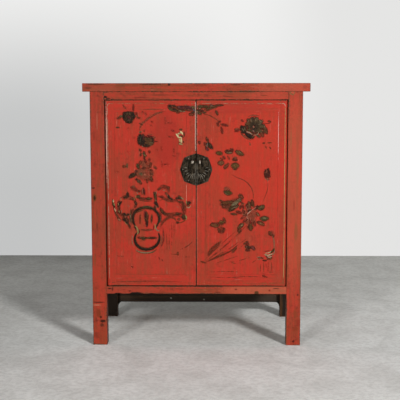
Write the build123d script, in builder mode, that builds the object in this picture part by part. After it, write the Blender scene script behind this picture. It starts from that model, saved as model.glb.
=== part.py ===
from build123d import *
import os
from math import cos, radians, sin

os.makedirs("parts", exist_ok=True)

# A two-door cabinet in frame-and-panel joinery. Millimetres, +Z up, the doors face -Y and
# the origin lies on the floor, in the middle of the whole cabinet.

# ---------------------------------------------------------------- driving dimensions
# Whole cabinet
overall_height = 1237
frame_width = 984              # over the outer faces of the legs
frame_depth = 596              # front face of the front legs to back face of the rear legs
top_side_overhang = 33
top_front_overhang = 4
top_back_overhang = 4
floor_clearance = 248          # underside of the bottom rails above the floor

# Top
top_thickness = 39
top_member_width = 78
top_edge_radius = 2.5
top_panel_thickness = 16
top_batten_width = 42
top_batten_spacing = 440       # from the middle of one batten to the middle of the other
top_batten_tenon_length = 12
mitre_tenon_width = 24
mitre_tenon_thickness = 10
mitre_tenon_wall = 14          # wood left between the end of the tenon and the outer face

# Legs
front_leg_width = 67.5
rear_leg_width = 59
leg_depth = 51
leg_edge_radius = 2.5
leg_tenon_inset = 44           # outer face of the leg to the middle of the tenon on its top
leg_tenon_width = 24
leg_tenon_depth = 18
leg_tenon_height = 12

# Rails
front_top_rail_height = 37
bottom_rail_height = 36
front_rail_depth = 42
front_tenon_thickness = 12
front_tenon_length = 25
rear_top_rail_height = 45
rear_rail_thickness = 24
side_top_rail_height = 45
side_rail_thickness = 24
slim_tenon_thickness = 10
slim_tenon_length = 20
rail_edge_radius = 1

# Joints shared by all pieces
tongue_thickness = 7
tongue_length = 8
swelling_room = 1.5            # room past a tongue for its panel to swell
panel_reveal = 0.5             # fine line left round the field of a panel
shoulder_wall = 1.5            # least wood between a groove and a tenon

# Panels and back
side_panel_thickness = 14
side_panel_setback = 3
back_panel_thickness = 12
back_panel_setback = 3
back_stile_width = 50
apron_thickness = 18
apron_setback = 4              # front of the rear rail to front of the apron
apron_edge_height = 72         # straight lower edge above the floor
apron_ear_width = 21
apron_ear_drop = 34
apron_tongue_length = 9
apron_tongue_thickness = 8

# Floor and shelf
floor_thickness = 14
floor_drop = 6                 # top of the bottom rails to top of the floor boards
board_seam = 0.5
notch_gap = 0.5
floor_batten_width = 45
floor_batten_spacing = 420
floor_batten_tenon_length = 10
floor_batten_tenon_thickness = 8
shelf_height = 705             # top of the shelf above the floor
shelf_thickness = 18
shelf_setback = 12             # back of the front legs to front edge of the shelf
shelf_gap = 1
bearer_width = 24
bearer_height = 30
bearer_tenon_length = 14
bearer_shoulder = 6

# Doors
door_thickness = 25
door_setback = 1               # front of the frame to front of the doors
door_side_gap = 2.5
door_seam_gap = 3
door_top_gap = 2.5
door_bottom_gap = 4
door_stile_width = 43
door_rail_height = 54
door_tenon_length = 22
door_edge_radius = 0.8
door_panel_thickness = 12
door_batten_height = 36
door_batten_inset = 165        # inner edge of a door rail to the middle of the batten beside it
door_batten_tenon_length = 12
door_batten_tenon_thickness = 7
door_batten_shoulder = 8

# Pivots: round pins on the hinge stiles, in sockets in the front rails
pin_radius = 7.5
pin_clearance = 0.05
top_pin_length = 16
bottom_pin_length = 12
pivot_end_gap = 0.3

# Door stops
stop_height = 12
stop_gap = 0.3
stop_end_room = 22             # pivot axis to the end of a stop

# Lock plate, lugs and nails
lock_height = 838.5            # middle of the plate above the floor
plate_radius = 75              # middle to the points above, below and at the sides
plate_corner_radius = 78.5     # middle to the four points between those
plate_lobe_radius = 72         # middle to the crown of the lobe between two points
plate_points = 8
plate_thickness = 1.6
plate_rim_width = 3.2
plate_rim_height = 0.8
lug_spacing = 34.8             # from the middle of one lug to the middle of the other
lug_rise = 35                  # middle of the plate to the lug's hole
lug_thickness = 8
lug_radius = 9
lug_hole_radius = 4
lug_hole_reach = 8             # front of the plate to the middle of the hole
lug_edge_radius = 1.2
tang_width = 6
tang_height = 10
clinch_length = 22
clinch_thickness = 2.5
nail_circle_radius = 62
nail_angles = (-55, 0, 55)
nail_radius = 1.1
nail_length = 10
nail_head_radius = 2.8
nail_head_height = 1.4
nail_head_fullness = 0.8       # rounding of a head, as a part of its height


# ---------------------------------------------------------------- helpers
def grown(span, amount):
    """The same span, longer by an amount at both ends."""
    return (span[0] - amount, span[1] + amount)


def centred(middle, size):
    """A span of a given size about its middle."""
    return (middle - size / 2, middle + size / 2)


def flipped(span):
    """The mirror image of a span on the other side of zero."""
    return (-span[1], -span[0])


def middle_of(span):
    """The middle of a span."""
    return (span[0] + span[1]) / 2


def block(x, y, z, mode=Mode.ADD):
    """Add a rectangular block that fills three spans to the piece being built, or cut it away."""
    with Locations((middle_of(x), middle_of(y), middle_of(z))):
        Box(x[1] - x[0], y[1] - y[0], z[1] - z[0], mode=mode)


def rod_along_y(x, y, z, radius, mode=Mode.ADD):
    """Add a round rod along Y that fills the span y, or drill it away."""
    with Locations((x, middle_of(y), z)):
        Cylinder(radius, y[1] - y[0], rotation=(90, 0, 0), mode=mode)


def rod_along_z(x, y, z, radius, mode=Mode.ADD):
    """Add a round rod along Z that fills the span z, or drill it away."""
    with Locations((x, y, middle_of(z))):
        Cylinder(radius, z[1] - z[0], mode=mode)


def save(piece, name):
    """Label a finished piece and write it as its own file."""
    piece.part.label = name
    export_step(piece.part, f"parts/{name}.step")


def save_pair(piece, name):
    """Write a left-hand piece and its mirror image on the right-hand side."""
    with BuildPart() as twin:
        mirror(piece.part, about=Plane.YZ)
    save(piece, name)
    save(twin, name.replace("left", "right"))


# ---------------------------------------------------------------- spans worked out from the sizes
frame_x = centred(0, frame_width)
top_x = grown(frame_x, top_side_overhang)
opening_x = grown(frame_x, -front_leg_width)
rear_opening_x = grown(frame_x, -rear_leg_width)
left_rail_x = (frame_x[0], frame_x[0] + side_rail_thickness)
inside_x = grown(frame_x, -side_rail_thickness)

# The whole cabinet, from the tip of the lugs to the back of the top, is centred on Y = 0.
lug_reach = lug_hole_reach + lug_radius
front_reach = max(lug_reach + plate_thickness - door_setback, top_front_overhang)
y_front = front_reach - (front_reach + frame_depth + top_back_overhang) / 2
frame_y = (y_front, y_front + frame_depth)
top_y = (frame_y[0] - top_front_overhang, frame_y[1] + top_back_overhang)
front_leg_y = (frame_y[0], frame_y[0] + leg_depth)
rear_leg_y = (frame_y[1] - leg_depth, frame_y[1])
side_opening_y = (front_leg_y[1], rear_leg_y[0])
front_rail_y = (frame_y[0], frame_y[0] + front_rail_depth)
rear_rail_y = (frame_y[1] - rear_rail_thickness, frame_y[1])

top_z = (overall_height - top_thickness, overall_height)
front_top_rail_z = (top_z[0] - front_top_rail_height, top_z[0])
rear_top_rail_z = (top_z[0] - rear_top_rail_height, top_z[0])
side_top_rail_z = (top_z[0] - side_top_rail_height, top_z[0])
bottom_rail_z = (floor_clearance, floor_clearance + bottom_rail_height)
door_opening_z = (bottom_rail_z[1], front_top_rail_z[0])
side_opening_z = (bottom_rail_z[1], side_top_rail_z[0])
back_opening_z = (bottom_rail_z[1], rear_top_rail_z[0])

groove_depth = tongue_length + swelling_room
tenon_shoulder = groove_depth + shoulder_wall


# ---------------------------------------------------------------- joints
# Each joint is one set of spans, added to the piece with the tenon and cut from the other.
# The tenons of a rail are one bar that runs through it and out at both ends.
def front_rail_tenons(rail_z):
    """The tenons of a front rail, which enter both front legs."""
    tenon_y = centred(middle_of(front_rail_y), front_tenon_thickness)
    return (grown(opening_x, front_tenon_length), tenon_y, grown(rail_z, -tenon_shoulder))


def rear_rail_tenons(rail_z):
    """The tenons of a rear rail, which enter both rear legs."""
    tenon_y = centred(middle_of(rear_rail_y), slim_tenon_thickness)
    return (grown(rear_opening_x, slim_tenon_length), tenon_y, grown(rail_z, -tenon_shoulder))


def side_rail_tenons(rail_z):
    """The tenons of a left side rail, which enter the front and the rear leg."""
    tenon_x = centred(middle_of(left_rail_x), slim_tenon_thickness)
    return (tenon_x, grown(side_opening_y, slim_tenon_length), grown(rail_z, -tenon_shoulder))


def leg_top_tenon(leg_y):
    """The tenon on top of a left leg, which enters the long member of the top frame."""
    tenon_x = centred(frame_x[0] + leg_tenon_inset, leg_tenon_width)
    tenon_y = centred(middle_of(leg_y), leg_tenon_depth)
    return (tenon_x, tenon_y, (top_z[0], top_z[0] + leg_tenon_height))


# Side panel, left: set back from the outer face, with its tongue along the inner face.
side_panel_x = (frame_x[0] + side_panel_setback, frame_x[0] + side_panel_setback + side_panel_thickness)
side_tongue_x = (side_panel_x[1] - tongue_thickness, side_panel_x[1])
side_housing = (side_tongue_x, grown(side_opening_y, groove_depth), grown(side_opening_z, groove_depth))

# Shelf bearer, left: lies against the side panel and enters the front and the rear leg.
bearer_x = (side_panel_x[1], side_panel_x[1] + bearer_width)
shelf_z = (shelf_height - shelf_thickness, shelf_height)
bearer_z = (shelf_z[0] - bearer_height, shelf_z[0])
bearer_tenons = (
    centred(middle_of(bearer_x), slim_tenon_thickness),
    grown(side_opening_y, bearer_tenon_length),
    grown(bearer_z, -bearer_shoulder),
)

# Floor boards: tongues along the lower face, in grooves in the four bottom rails.
floor_z = (bottom_rail_z[1] - floor_drop - floor_thickness, bottom_rail_z[1] - floor_drop)
floor_tongue_z = (floor_z[0], floor_z[0] + tongue_thickness)
floor_y = (front_rail_y[1], rear_rail_y[0])
floor_housing = (grown(inside_x, groove_depth), grown(floor_y, groove_depth), floor_tongue_z)

# Floor battens: under the boards, from the front to the rear bottom rail.
floor_batten_z = (bottom_rail_z[0], floor_z[0])


def floor_batten_x(side):
    """The span of one floor batten: side is -1 for the left and 1 for the right."""
    return centred(side * floor_batten_spacing / 2, floor_batten_width)


def floor_batten_tenons(side):
    """The tenons of one floor batten, which enter the front and the rear bottom rail."""
    tenon_z = centred(middle_of(floor_batten_z), floor_batten_tenon_thickness)
    tenon_x = grown(floor_batten_x(side), -shoulder_wall)
    return (tenon_x, grown(floor_y, floor_batten_tenon_length), tenon_z)


# Back: a centre stile between the rear rails, with a panel at each side of it.
back_stile_x = centred(0, back_stile_width)
stile_tenon_length = floor_drop + floor_thickness - tongue_thickness - shoulder_wall
stile_tenons = (
    grown(back_stile_x, -tenon_shoulder),
    centred(middle_of(rear_rail_y), slim_tenon_thickness),
    grown(back_opening_z, stile_tenon_length),
)
back_panel_y = (frame_y[1] - back_panel_setback - back_panel_thickness, frame_y[1] - back_panel_setback)
back_tongue_y = (back_panel_y[0], back_panel_y[0] + tongue_thickness)
back_panel_x = (rear_opening_x[0], back_stile_x[0])
back_housing = (grown(back_panel_x, groove_depth), back_tongue_y, grown(back_opening_z, groove_depth))
right_back_housing = (flipped(back_housing[0]), back_housing[1], back_housing[2])

# Apron: under the rear bottom rail, with tongues that enter the rear legs.
apron_y = (rear_rail_y[0] + apron_setback, rear_rail_y[0] + apron_setback + apron_thickness)
apron_z = (apron_edge_height, bottom_rail_z[0])
apron_tongues = (
    grown(rear_opening_x, apron_tongue_length),
    centred(middle_of(apron_y), apron_tongue_thickness),
    grown(apron_z, -shoulder_wall),
)

# Top panel: flush with the top of its frame, with its tongue along the lower face.
top_opening_x = grown(top_x, -top_member_width)
top_opening_y = grown(top_y, -top_member_width)
top_panel_z = (overall_height - top_panel_thickness, overall_height)
top_tongue_z = (top_panel_z[0], top_panel_z[0] + tongue_thickness)
top_housing = (grown(top_opening_x, groove_depth), grown(top_opening_y, groove_depth), top_tongue_z)
top_batten_z = (top_z[0] + shoulder_wall, top_panel_z[0])


def top_batten_x(side):
    """The span of one top batten: side is -1 for the left and 1 for the right."""
    return centred(side * top_batten_spacing / 2, top_batten_width)


def top_batten_tenons(side):
    """The tenons of one top batten, which enter the front and the back member of the top frame."""
    tenon_z = centred(middle_of(top_batten_z), slim_tenon_thickness)
    tenon_x = grown(top_batten_x(side), -shoulder_wall)
    return (tenon_x, grown(top_opening_y, top_batten_tenon_length), tenon_z)


def mitre_tenon(member_y):
    """The tenons at the mitred ends of a long top member, which enter the short members."""
    tenon_x = grown(top_x, -mitre_tenon_wall)
    tenon_z = centred(middle_of((top_z[0] + leg_tenon_height, top_tongue_z[1])), mitre_tenon_thickness)
    return (tenon_x, centred(middle_of(member_y), mitre_tenon_width), tenon_z)


front_member_y = (top_y[0], top_y[0] + top_member_width)
back_member_y = (top_y[1] - top_member_width, top_y[1])


# ---------------------------------------------------------------- top
def long_top_member(outer_y, inner_y, member_y, leg_y):
    """A front or back member of the top frame: a board with 45-degree ends and a tenon on each."""
    with BuildPart() as member:
        with BuildSketch(Plane.XY.offset(top_z[0])):
            corners = [
                (top_x[0], outer_y),
                (top_x[1], outer_y),
                (top_opening_x[1], inner_y),
                (top_opening_x[0], inner_y),
            ]
            Polygon(*corners, align=None)
        extrude(amount=top_thickness)
        long_edges = edges().filter_by(Axis.X).sort_by(lambda edge: abs(edge.center().Y - outer_y))
        fillet(long_edges[:2], radius=top_edge_radius)
        block(*mitre_tenon(member_y))
        block(*top_housing, mode=Mode.SUBTRACT)
        for side in (-1, 1):
            block(*top_batten_tenons(side), mode=Mode.SUBTRACT)
        left_tenon = leg_top_tenon(leg_y)
        block(*left_tenon, mode=Mode.SUBTRACT)
        block(flipped(left_tenon[0]), left_tenon[1], left_tenon[2], mode=Mode.SUBTRACT)
    return member


save(long_top_member(top_y[0], top_opening_y[0], front_member_y, front_leg_y), "top_frame_front")
save(long_top_member(top_y[1], top_opening_y[1], back_member_y, rear_leg_y), "top_frame_back")

with BuildPart() as top_frame_left:
    with BuildSketch(Plane.XY.offset(top_z[0])):
        corners = [
            (top_x[0], top_y[0]),
            (top_opening_x[0], top_opening_y[0]),
            (top_opening_x[0], top_opening_y[1]),
            (top_x[0], top_y[1]),
        ]
        Polygon(*corners, align=None)
    extrude(amount=top_thickness)
    fillet(edges().filter_by(Axis.Y).group_by(Axis.X)[0], radius=top_edge_radius)
    block(*mitre_tenon(front_member_y), mode=Mode.SUBTRACT)
    block(*mitre_tenon(back_member_y), mode=Mode.SUBTRACT)
    block(*top_housing, mode=Mode.SUBTRACT)
save_pair(top_frame_left, "top_frame_left")

with BuildPart() as top_panel:
    block(grown(top_opening_x, -panel_reveal), grown(top_opening_y, -panel_reveal), top_panel_z)
    block(grown(top_opening_x, tongue_length), grown(top_opening_y, tongue_length), top_tongue_z)
save(top_panel, "top_panel")

with BuildPart() as top_batten:
    block(top_batten_x(-1), top_opening_y, top_batten_z)
    block(*top_batten_tenons(-1))
save_pair(top_batten, "top_batten_left")

# ---------------------------------------------------------------- legs
with BuildPart() as front_left_leg:
    block((frame_x[0], opening_x[0]), front_leg_y, (0, top_z[0]))
    fillet(edges().filter_by(Axis.Z).group_by(Axis.X)[0], radius=leg_edge_radius)
    fillet(edges().filter_by(Axis.Z).group_by(Axis.X)[-1].sort_by(Axis.Y)[0], radius=rail_edge_radius)
    block(*leg_top_tenon(front_leg_y))
    block(*front_rail_tenons(front_top_rail_z), mode=Mode.SUBTRACT)
    block(*front_rail_tenons(bottom_rail_z), mode=Mode.SUBTRACT)
    block(*side_rail_tenons(side_top_rail_z), mode=Mode.SUBTRACT)
    block(*side_rail_tenons(bottom_rail_z), mode=Mode.SUBTRACT)
    block(*side_housing, mode=Mode.SUBTRACT)
    block(*bearer_tenons, mode=Mode.SUBTRACT)
save_pair(front_left_leg, "front_left_leg")

with BuildPart() as rear_left_leg:
    block((frame_x[0], rear_opening_x[0]), rear_leg_y, (0, top_z[0]))
    fillet(edges().filter_by(Axis.Z).group_by(Axis.X)[0], radius=leg_edge_radius)
    block(*leg_top_tenon(rear_leg_y))
    block(*rear_rail_tenons(rear_top_rail_z), mode=Mode.SUBTRACT)
    block(*rear_rail_tenons(bottom_rail_z), mode=Mode.SUBTRACT)
    block(*side_rail_tenons(side_top_rail_z), mode=Mode.SUBTRACT)
    block(*side_rail_tenons(bottom_rail_z), mode=Mode.SUBTRACT)
    block(*side_housing, mode=Mode.SUBTRACT)
    block(*bearer_tenons, mode=Mode.SUBTRACT)
    block(*back_housing, mode=Mode.SUBTRACT)
    block(*apron_tongues, mode=Mode.SUBTRACT)
save_pair(rear_left_leg, "rear_left_leg")

# ---------------------------------------------------------------- doors: where they are
door_x = (opening_x[0] + door_side_gap, -door_seam_gap / 2)
door_y = (frame_y[0] + door_setback, frame_y[0] + door_setback + door_thickness)
door_z = (door_opening_z[0] + door_bottom_gap, door_opening_z[1] - door_top_gap)

# The hinge stile's outer edge is a half round about the pivot axis, so it turns in its gap.
pivot_x = door_x[0] + door_thickness / 2
pivot_y = middle_of(door_y)
top_pin_z = (door_z[1], door_z[1] + top_pin_length)
bottom_pin_z = (door_z[0] - bottom_pin_length, door_z[0])

# ---------------------------------------------------------------- front and rear rails
with BuildPart() as front_top_rail:
    block(opening_x, front_rail_y, front_top_rail_z)
    fillet(edges().filter_by(Axis.X).group_by(Axis.Y)[0].sort_by(Axis.Z)[0], radius=rail_edge_radius)
    block(*front_rail_tenons(front_top_rail_z))
    for x in (pivot_x, -pivot_x):
        socket_z = (door_opening_z[1], top_pin_z[1] + pivot_end_gap)
        rod_along_z(x, pivot_y, socket_z, pin_radius + pin_clearance, mode=Mode.SUBTRACT)
save(front_top_rail, "front_top_rail")

with BuildPart() as front_bottom_rail:
    block(opening_x, front_rail_y, bottom_rail_z)
    fillet(edges().filter_by(Axis.X).group_by(Axis.Y)[0], radius=rail_edge_radius)
    block(*front_rail_tenons(bottom_rail_z))
    block(*floor_housing, mode=Mode.SUBTRACT)
    for side in (-1, 1):
        block(*floor_batten_tenons(side), mode=Mode.SUBTRACT)
    for x in (pivot_x, -pivot_x):
        socket_z = (bottom_pin_z[0] - pivot_end_gap, door_opening_z[0])
        rod_along_z(x, pivot_y, socket_z, pin_radius + pin_clearance, mode=Mode.SUBTRACT)
save(front_bottom_rail, "front_bottom_rail")

with BuildPart() as rear_top_rail:
    block(rear_opening_x, rear_rail_y, rear_top_rail_z)
    block(*rear_rail_tenons(rear_top_rail_z))
    block(*stile_tenons, mode=Mode.SUBTRACT)
    block(*back_housing, mode=Mode.SUBTRACT)
    block(*right_back_housing, mode=Mode.SUBTRACT)
save(rear_top_rail, "rear_top_rail")

with BuildPart() as rear_bottom_rail:
    block(rear_opening_x, rear_rail_y, bottom_rail_z)
    block(*rear_rail_tenons(bottom_rail_z))
    block(*stile_tenons, mode=Mode.SUBTRACT)
    block(*back_housing, mode=Mode.SUBTRACT)
    block(*right_back_housing, mode=Mode.SUBTRACT)
    block(*floor_housing, mode=Mode.SUBTRACT)
    for side in (-1, 1):
        block(*floor_batten_tenons(side), mode=Mode.SUBTRACT)
save(rear_bottom_rail, "rear_bottom_rail")

# ---------------------------------------------------------------- sides
with BuildPart() as left_top_rail:
    block(left_rail_x, side_opening_y, side_top_rail_z)
    fillet(edges().filter_by(Axis.Y).group_by(Axis.X)[0].sort_by(Axis.Z)[0], radius=rail_edge_radius)
    block(*side_rail_tenons(side_top_rail_z))
    block(*side_housing, mode=Mode.SUBTRACT)
save_pair(left_top_rail, "left_top_rail")

with BuildPart() as left_bottom_rail:
    block(left_rail_x, side_opening_y, bottom_rail_z)
    fillet(edges().filter_by(Axis.Y).group_by(Axis.X)[0], radius=rail_edge_radius)
    block(*side_rail_tenons(bottom_rail_z))
    block(*side_housing, mode=Mode.SUBTRACT)
    block(*floor_housing, mode=Mode.SUBTRACT)
save_pair(left_bottom_rail, "left_bottom_rail")

with BuildPart() as left_side_panel:
    block(side_panel_x, grown(side_opening_y, -panel_reveal), grown(side_opening_z, -panel_reveal))
    block(side_tongue_x, grown(side_opening_y, tongue_length), grown(side_opening_z, tongue_length))
save_pair(left_side_panel, "left_side_panel")

with BuildPart() as left_shelf_bearer:
    block(bearer_x, side_opening_y, bearer_z)
    block(*bearer_tenons)
save_pair(left_shelf_bearer, "left_shelf_bearer")

# ---------------------------------------------------------------- back
with BuildPart() as back_stile:
    block(back_stile_x, rear_rail_y, back_opening_z)
    block(*stile_tenons)
    block(*back_housing, mode=Mode.SUBTRACT)
    block(*right_back_housing, mode=Mode.SUBTRACT)
save(back_stile, "back_stile")

with BuildPart() as left_back_panel:
    block(grown(back_panel_x, -panel_reveal), back_panel_y, grown(back_opening_z, -panel_reveal))
    block(grown(back_panel_x, tongue_length), back_tongue_y, grown(back_opening_z, tongue_length))
save_pair(left_back_panel, "left_back_panel")

# The apron's ears run down along the rear legs in a quarter of an ellipse.
apron_plane = Plane(origin=(0, apron_y[1], 0), x_dir=(1, 0, 0), z_dir=(0, -1, 0))
apron_width = rear_opening_x[1] - rear_opening_x[0]
ear_foot_x = apron_width / 2 - apron_ear_width
with BuildPart() as back_apron:
    with BuildSketch(apron_plane):
        with Locations((0, middle_of(apron_z))):
            Rectangle(apron_width, apron_z[1] - apron_z[0])
        with Locations((0, apron_z[0] - apron_ear_drop / 2)):
            Rectangle(apron_width, apron_ear_drop)
            Rectangle(2 * ear_foot_x, apron_ear_drop, mode=Mode.SUBTRACT)
        with Locations((-ear_foot_x, apron_z[0] - apron_ear_drop), (ear_foot_x, apron_z[0] - apron_ear_drop)):
            Ellipse(apron_ear_width, apron_ear_drop, mode=Mode.SUBTRACT)
    extrude(amount=apron_thickness)
    block(*apron_tongues)
save(back_apron, "back_apron")

# ---------------------------------------------------------------- floor and shelf
floor_third = (floor_y[1] - floor_y[0]) / 3
floor_seams = grown(floor_y, -floor_third)
floor_slices = {
    "floor_board_front": (floor_y[0] - tongue_length, floor_seams[0]),
    "floor_board_middle": (floor_seams[0] + board_seam, floor_seams[1]),
    "floor_board_back": (floor_seams[1] + board_seam, floor_y[1] + tongue_length),
}
for name, board_y in floor_slices.items():
    with BuildPart() as floor_board:
        block(inside_x, floor_y, floor_z)
        block(grown(inside_x, tongue_length), grown(floor_y, tongue_length), floor_tongue_z)
        for leg_x, leg_y in ((opening_x[0], front_leg_y), (rear_opening_x[0], rear_leg_y)):
            notch_x = (frame_x[0], leg_x + notch_gap)
            block(notch_x, grown(leg_y, notch_gap), floor_z, mode=Mode.SUBTRACT)
            block(flipped(notch_x), grown(leg_y, notch_gap), floor_z, mode=Mode.SUBTRACT)
        block(frame_x, board_y, floor_z, mode=Mode.INTERSECT)
    save(floor_board, name)

with BuildPart() as left_floor_batten:
    block(floor_batten_x(-1), floor_y, floor_batten_z)
    block(*floor_batten_tenons(-1))
save_pair(left_floor_batten, "left_floor_batten")

shelf_x = (side_panel_x[1] + shelf_gap, -side_panel_x[1] - shelf_gap)
shelf_y = (front_leg_y[1] + shelf_setback, rear_rail_y[0] - shelf_gap)
shelf_slices = {
    "shelf_board_front": (shelf_y[0], middle_of(shelf_y)),
    "shelf_board_back": (middle_of(shelf_y) + board_seam, shelf_y[1]),
}
for name, board_y in shelf_slices.items():
    with BuildPart() as shelf_board:
        block(shelf_x, board_y, shelf_z)
        notch_x = (frame_x[0], rear_opening_x[0] + notch_gap)
        block(notch_x, grown(rear_leg_y, notch_gap), shelf_z, mode=Mode.SUBTRACT)
        block(flipped(notch_x), grown(rear_leg_y, notch_gap), shelf_z, mode=Mode.SUBTRACT)
    save(shelf_board, name)

# ---------------------------------------------------------------- door stops
stop_x = (pivot_x + stop_end_room, -pivot_x - stop_end_room)
stop_y = (door_y[1] + stop_gap, front_rail_y[1])
with BuildPart() as upper_door_stop:
    block(stop_x, stop_y, (door_opening_z[1] - stop_height, door_opening_z[1]))
save(upper_door_stop, "upper_door_stop")

with BuildPart() as lower_door_stop:
    block(stop_x, stop_y, (door_opening_z[0], door_opening_z[0] + stop_height))
save(lower_door_stop, "lower_door_stop")

# ---------------------------------------------------------------- door joints, left door
hinge_stile_x = (door_x[0], door_x[0] + door_stile_width)
meeting_stile_x = (door_x[1] - door_stile_width, door_x[1])
door_opening_x = (hinge_stile_x[1], meeting_stile_x[0])
door_top_rail_z = (door_z[1] - door_rail_height, door_z[1])
door_bottom_rail_z = (door_z[0], door_z[0] + door_rail_height)
door_panel_z = (door_bottom_rail_z[1], door_top_rail_z[0])
door_panel_y = (door_y[0], door_y[0] + door_panel_thickness)
door_tongue_y = (door_panel_y[1] - tongue_thickness, door_panel_y[1])
door_housing = (grown(door_opening_x, groove_depth), door_tongue_y, grown(door_panel_z, groove_depth))


def door_rail_tenons(rail_z):
    """The tenons of a door rail, which enter both stiles."""
    tenon_y = centred(middle_of(door_y), slim_tenon_thickness)
    return (grown(door_opening_x, door_tenon_length), tenon_y, grown(rail_z, -tenon_shoulder))


# Battens lie behind the panel, flush with the back of the door frame.
door_batten_y = (door_panel_y[1], door_y[1])
batten_middles = grown(door_panel_z, -door_batten_inset)


def door_batten_tenons(middle_z):
    """The tenons of a door batten, which enter both stiles."""
    tenon_z = grown(centred(middle_z, door_batten_height), -door_batten_shoulder)
    tenon_y = centred(middle_of(door_batten_y), door_batten_tenon_thickness)
    return (grown(door_opening_x, door_batten_tenon_length), tenon_y, tenon_z)


# Lug: its tang goes through the plate and the meeting stile and is bent over at the back.
lug_x = -lug_spacing / 2
lug_z = lock_height + lug_rise
plate_y = (door_y[0] - plate_thickness, door_y[0])
tang = (centred(lug_x, tang_width), (plate_y[0], door_y[1]), centred(lug_z, tang_height))

nail_y = (plate_y[0], plate_y[0] + nail_length)
nail_spots = [
    (-nail_circle_radius * cos(radians(angle)), lock_height + nail_circle_radius * sin(radians(angle)))
    for angle in nail_angles
]


def drill_nail_holes():
    """Drill the holes of the left half plate's nails into the piece being built."""
    for x, z in nail_spots:
        rod_along_y(x, nail_y, z, nail_radius, mode=Mode.SUBTRACT)


def cut_door_joints():
    """Cut every mortise and groove of the left door into the stile being built."""
    block(*door_rail_tenons(door_top_rail_z), mode=Mode.SUBTRACT)
    block(*door_rail_tenons(door_bottom_rail_z), mode=Mode.SUBTRACT)
    block(*door_housing, mode=Mode.SUBTRACT)
    for middle_z in batten_middles:
        block(*door_batten_tenons(middle_z), mode=Mode.SUBTRACT)


# ---------------------------------------------------------------- door frame
with BuildPart() as left_hinge_stile:
    with BuildSketch(Plane.XY.offset(door_z[0])):
        with Locations((pivot_x, pivot_y)):
            Circle(door_thickness / 2)
        with Locations((middle_of((pivot_x, hinge_stile_x[1])), pivot_y)):
            Rectangle(hinge_stile_x[1] - pivot_x, door_thickness)
    extrude(amount=door_z[1] - door_z[0])
    cut_door_joints()
    rod_along_z(pivot_x, pivot_y, top_pin_z, pin_radius)
    rod_along_z(pivot_x, pivot_y, bottom_pin_z, pin_radius)
save_pair(left_hinge_stile, "left_hinge_stile")

with BuildPart() as left_meeting_stile:
    block(meeting_stile_x, door_y, door_z)
    fillet(edges().filter_by(Axis.Z).group_by(Axis.X)[-1], radius=door_edge_radius)
    cut_door_joints()
    block(*tang, mode=Mode.SUBTRACT)
    drill_nail_holes()
save_pair(left_meeting_stile, "left_meeting_stile")

with BuildPart() as left_door_top_rail:
    block(door_opening_x, door_y, door_top_rail_z)
    fillet(edges().filter_by(Axis.X).group_by(Axis.Z)[-1], radius=door_edge_radius)
    block(*door_rail_tenons(door_top_rail_z))
    block(*door_housing, mode=Mode.SUBTRACT)
save_pair(left_door_top_rail, "left_door_top_rail")

with BuildPart() as left_door_bottom_rail:
    block(door_opening_x, door_y, door_bottom_rail_z)
    fillet(edges().filter_by(Axis.X).group_by(Axis.Z)[0], radius=door_edge_radius)
    block(*door_rail_tenons(door_bottom_rail_z))
    block(*door_housing, mode=Mode.SUBTRACT)
save_pair(left_door_bottom_rail, "left_door_bottom_rail")

with BuildPart() as left_door_panel:
    block(grown(door_opening_x, -panel_reveal), door_panel_y, grown(door_panel_z, -panel_reveal))
    block(grown(door_opening_x, tongue_length), door_tongue_y, grown(door_panel_z, tongue_length))
    drill_nail_holes()
save_pair(left_door_panel, "left_door_panel")

for name, middle_z in zip(("left_door_lower_batten", "left_door_upper_batten"), batten_middles):
    with BuildPart() as left_door_batten:
        block(door_opening_x, door_batten_y, centred(middle_z, door_batten_height))
        block(*door_batten_tenons(middle_z))
    save_pair(left_door_batten, name)

# ---------------------------------------------------------------- lock plate, lug and nails
# The whole plate has eight points with a shallow lobe between each two, and is a little square,
# because every second point is further out. It is split at the seam between the doors, and each
# half has a raised rim all round.
plate_plane = Plane(origin=(0, door_y[0], lock_height), x_dir=(1, 0, 0), z_dir=(0, -1, 0))
point_step = 360 / plate_points
point_radii = (plate_radius, plate_corner_radius)


def plate_spot(radius, angle):
    """A point of the plate's outline at a radius and angle from its middle."""
    return (radius * cos(radians(angle)), radius * sin(radians(angle)))


with BuildSketch() as half_plate:
    with BuildLine():
        for index in range(plate_points):
            first = 90 + index * point_step
            first_point = plate_spot(point_radii[index % 2], first)
            crown = plate_spot(plate_lobe_radius, first + point_step / 2)
            last_point = plate_spot(point_radii[(index + 1) % 2], first + point_step)
            ThreePointArc(first_point, crown, last_point)
    make_face()
    with Locations((plate_radius - door_seam_gap / 2, 0)):
        Rectangle(2 * plate_radius, 2 * plate_radius, mode=Mode.SUBTRACT)

with BuildSketch() as plate_rim:
    add(half_plate.sketch)
    offset(half_plate.sketch, amount=-plate_rim_width, mode=Mode.SUBTRACT)

with BuildPart() as left_lock_plate:
    with BuildSketch(plate_plane):
        add(half_plate.sketch)
    extrude(amount=plate_thickness)
    with BuildSketch(plate_plane.offset(plate_thickness)):
        add(plate_rim.sketch)
    extrude(amount=plate_rim_height)
    block(*tang, mode=Mode.SUBTRACT)
    drill_nail_holes()
save_pair(left_lock_plate, "left_lock_plate")

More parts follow.
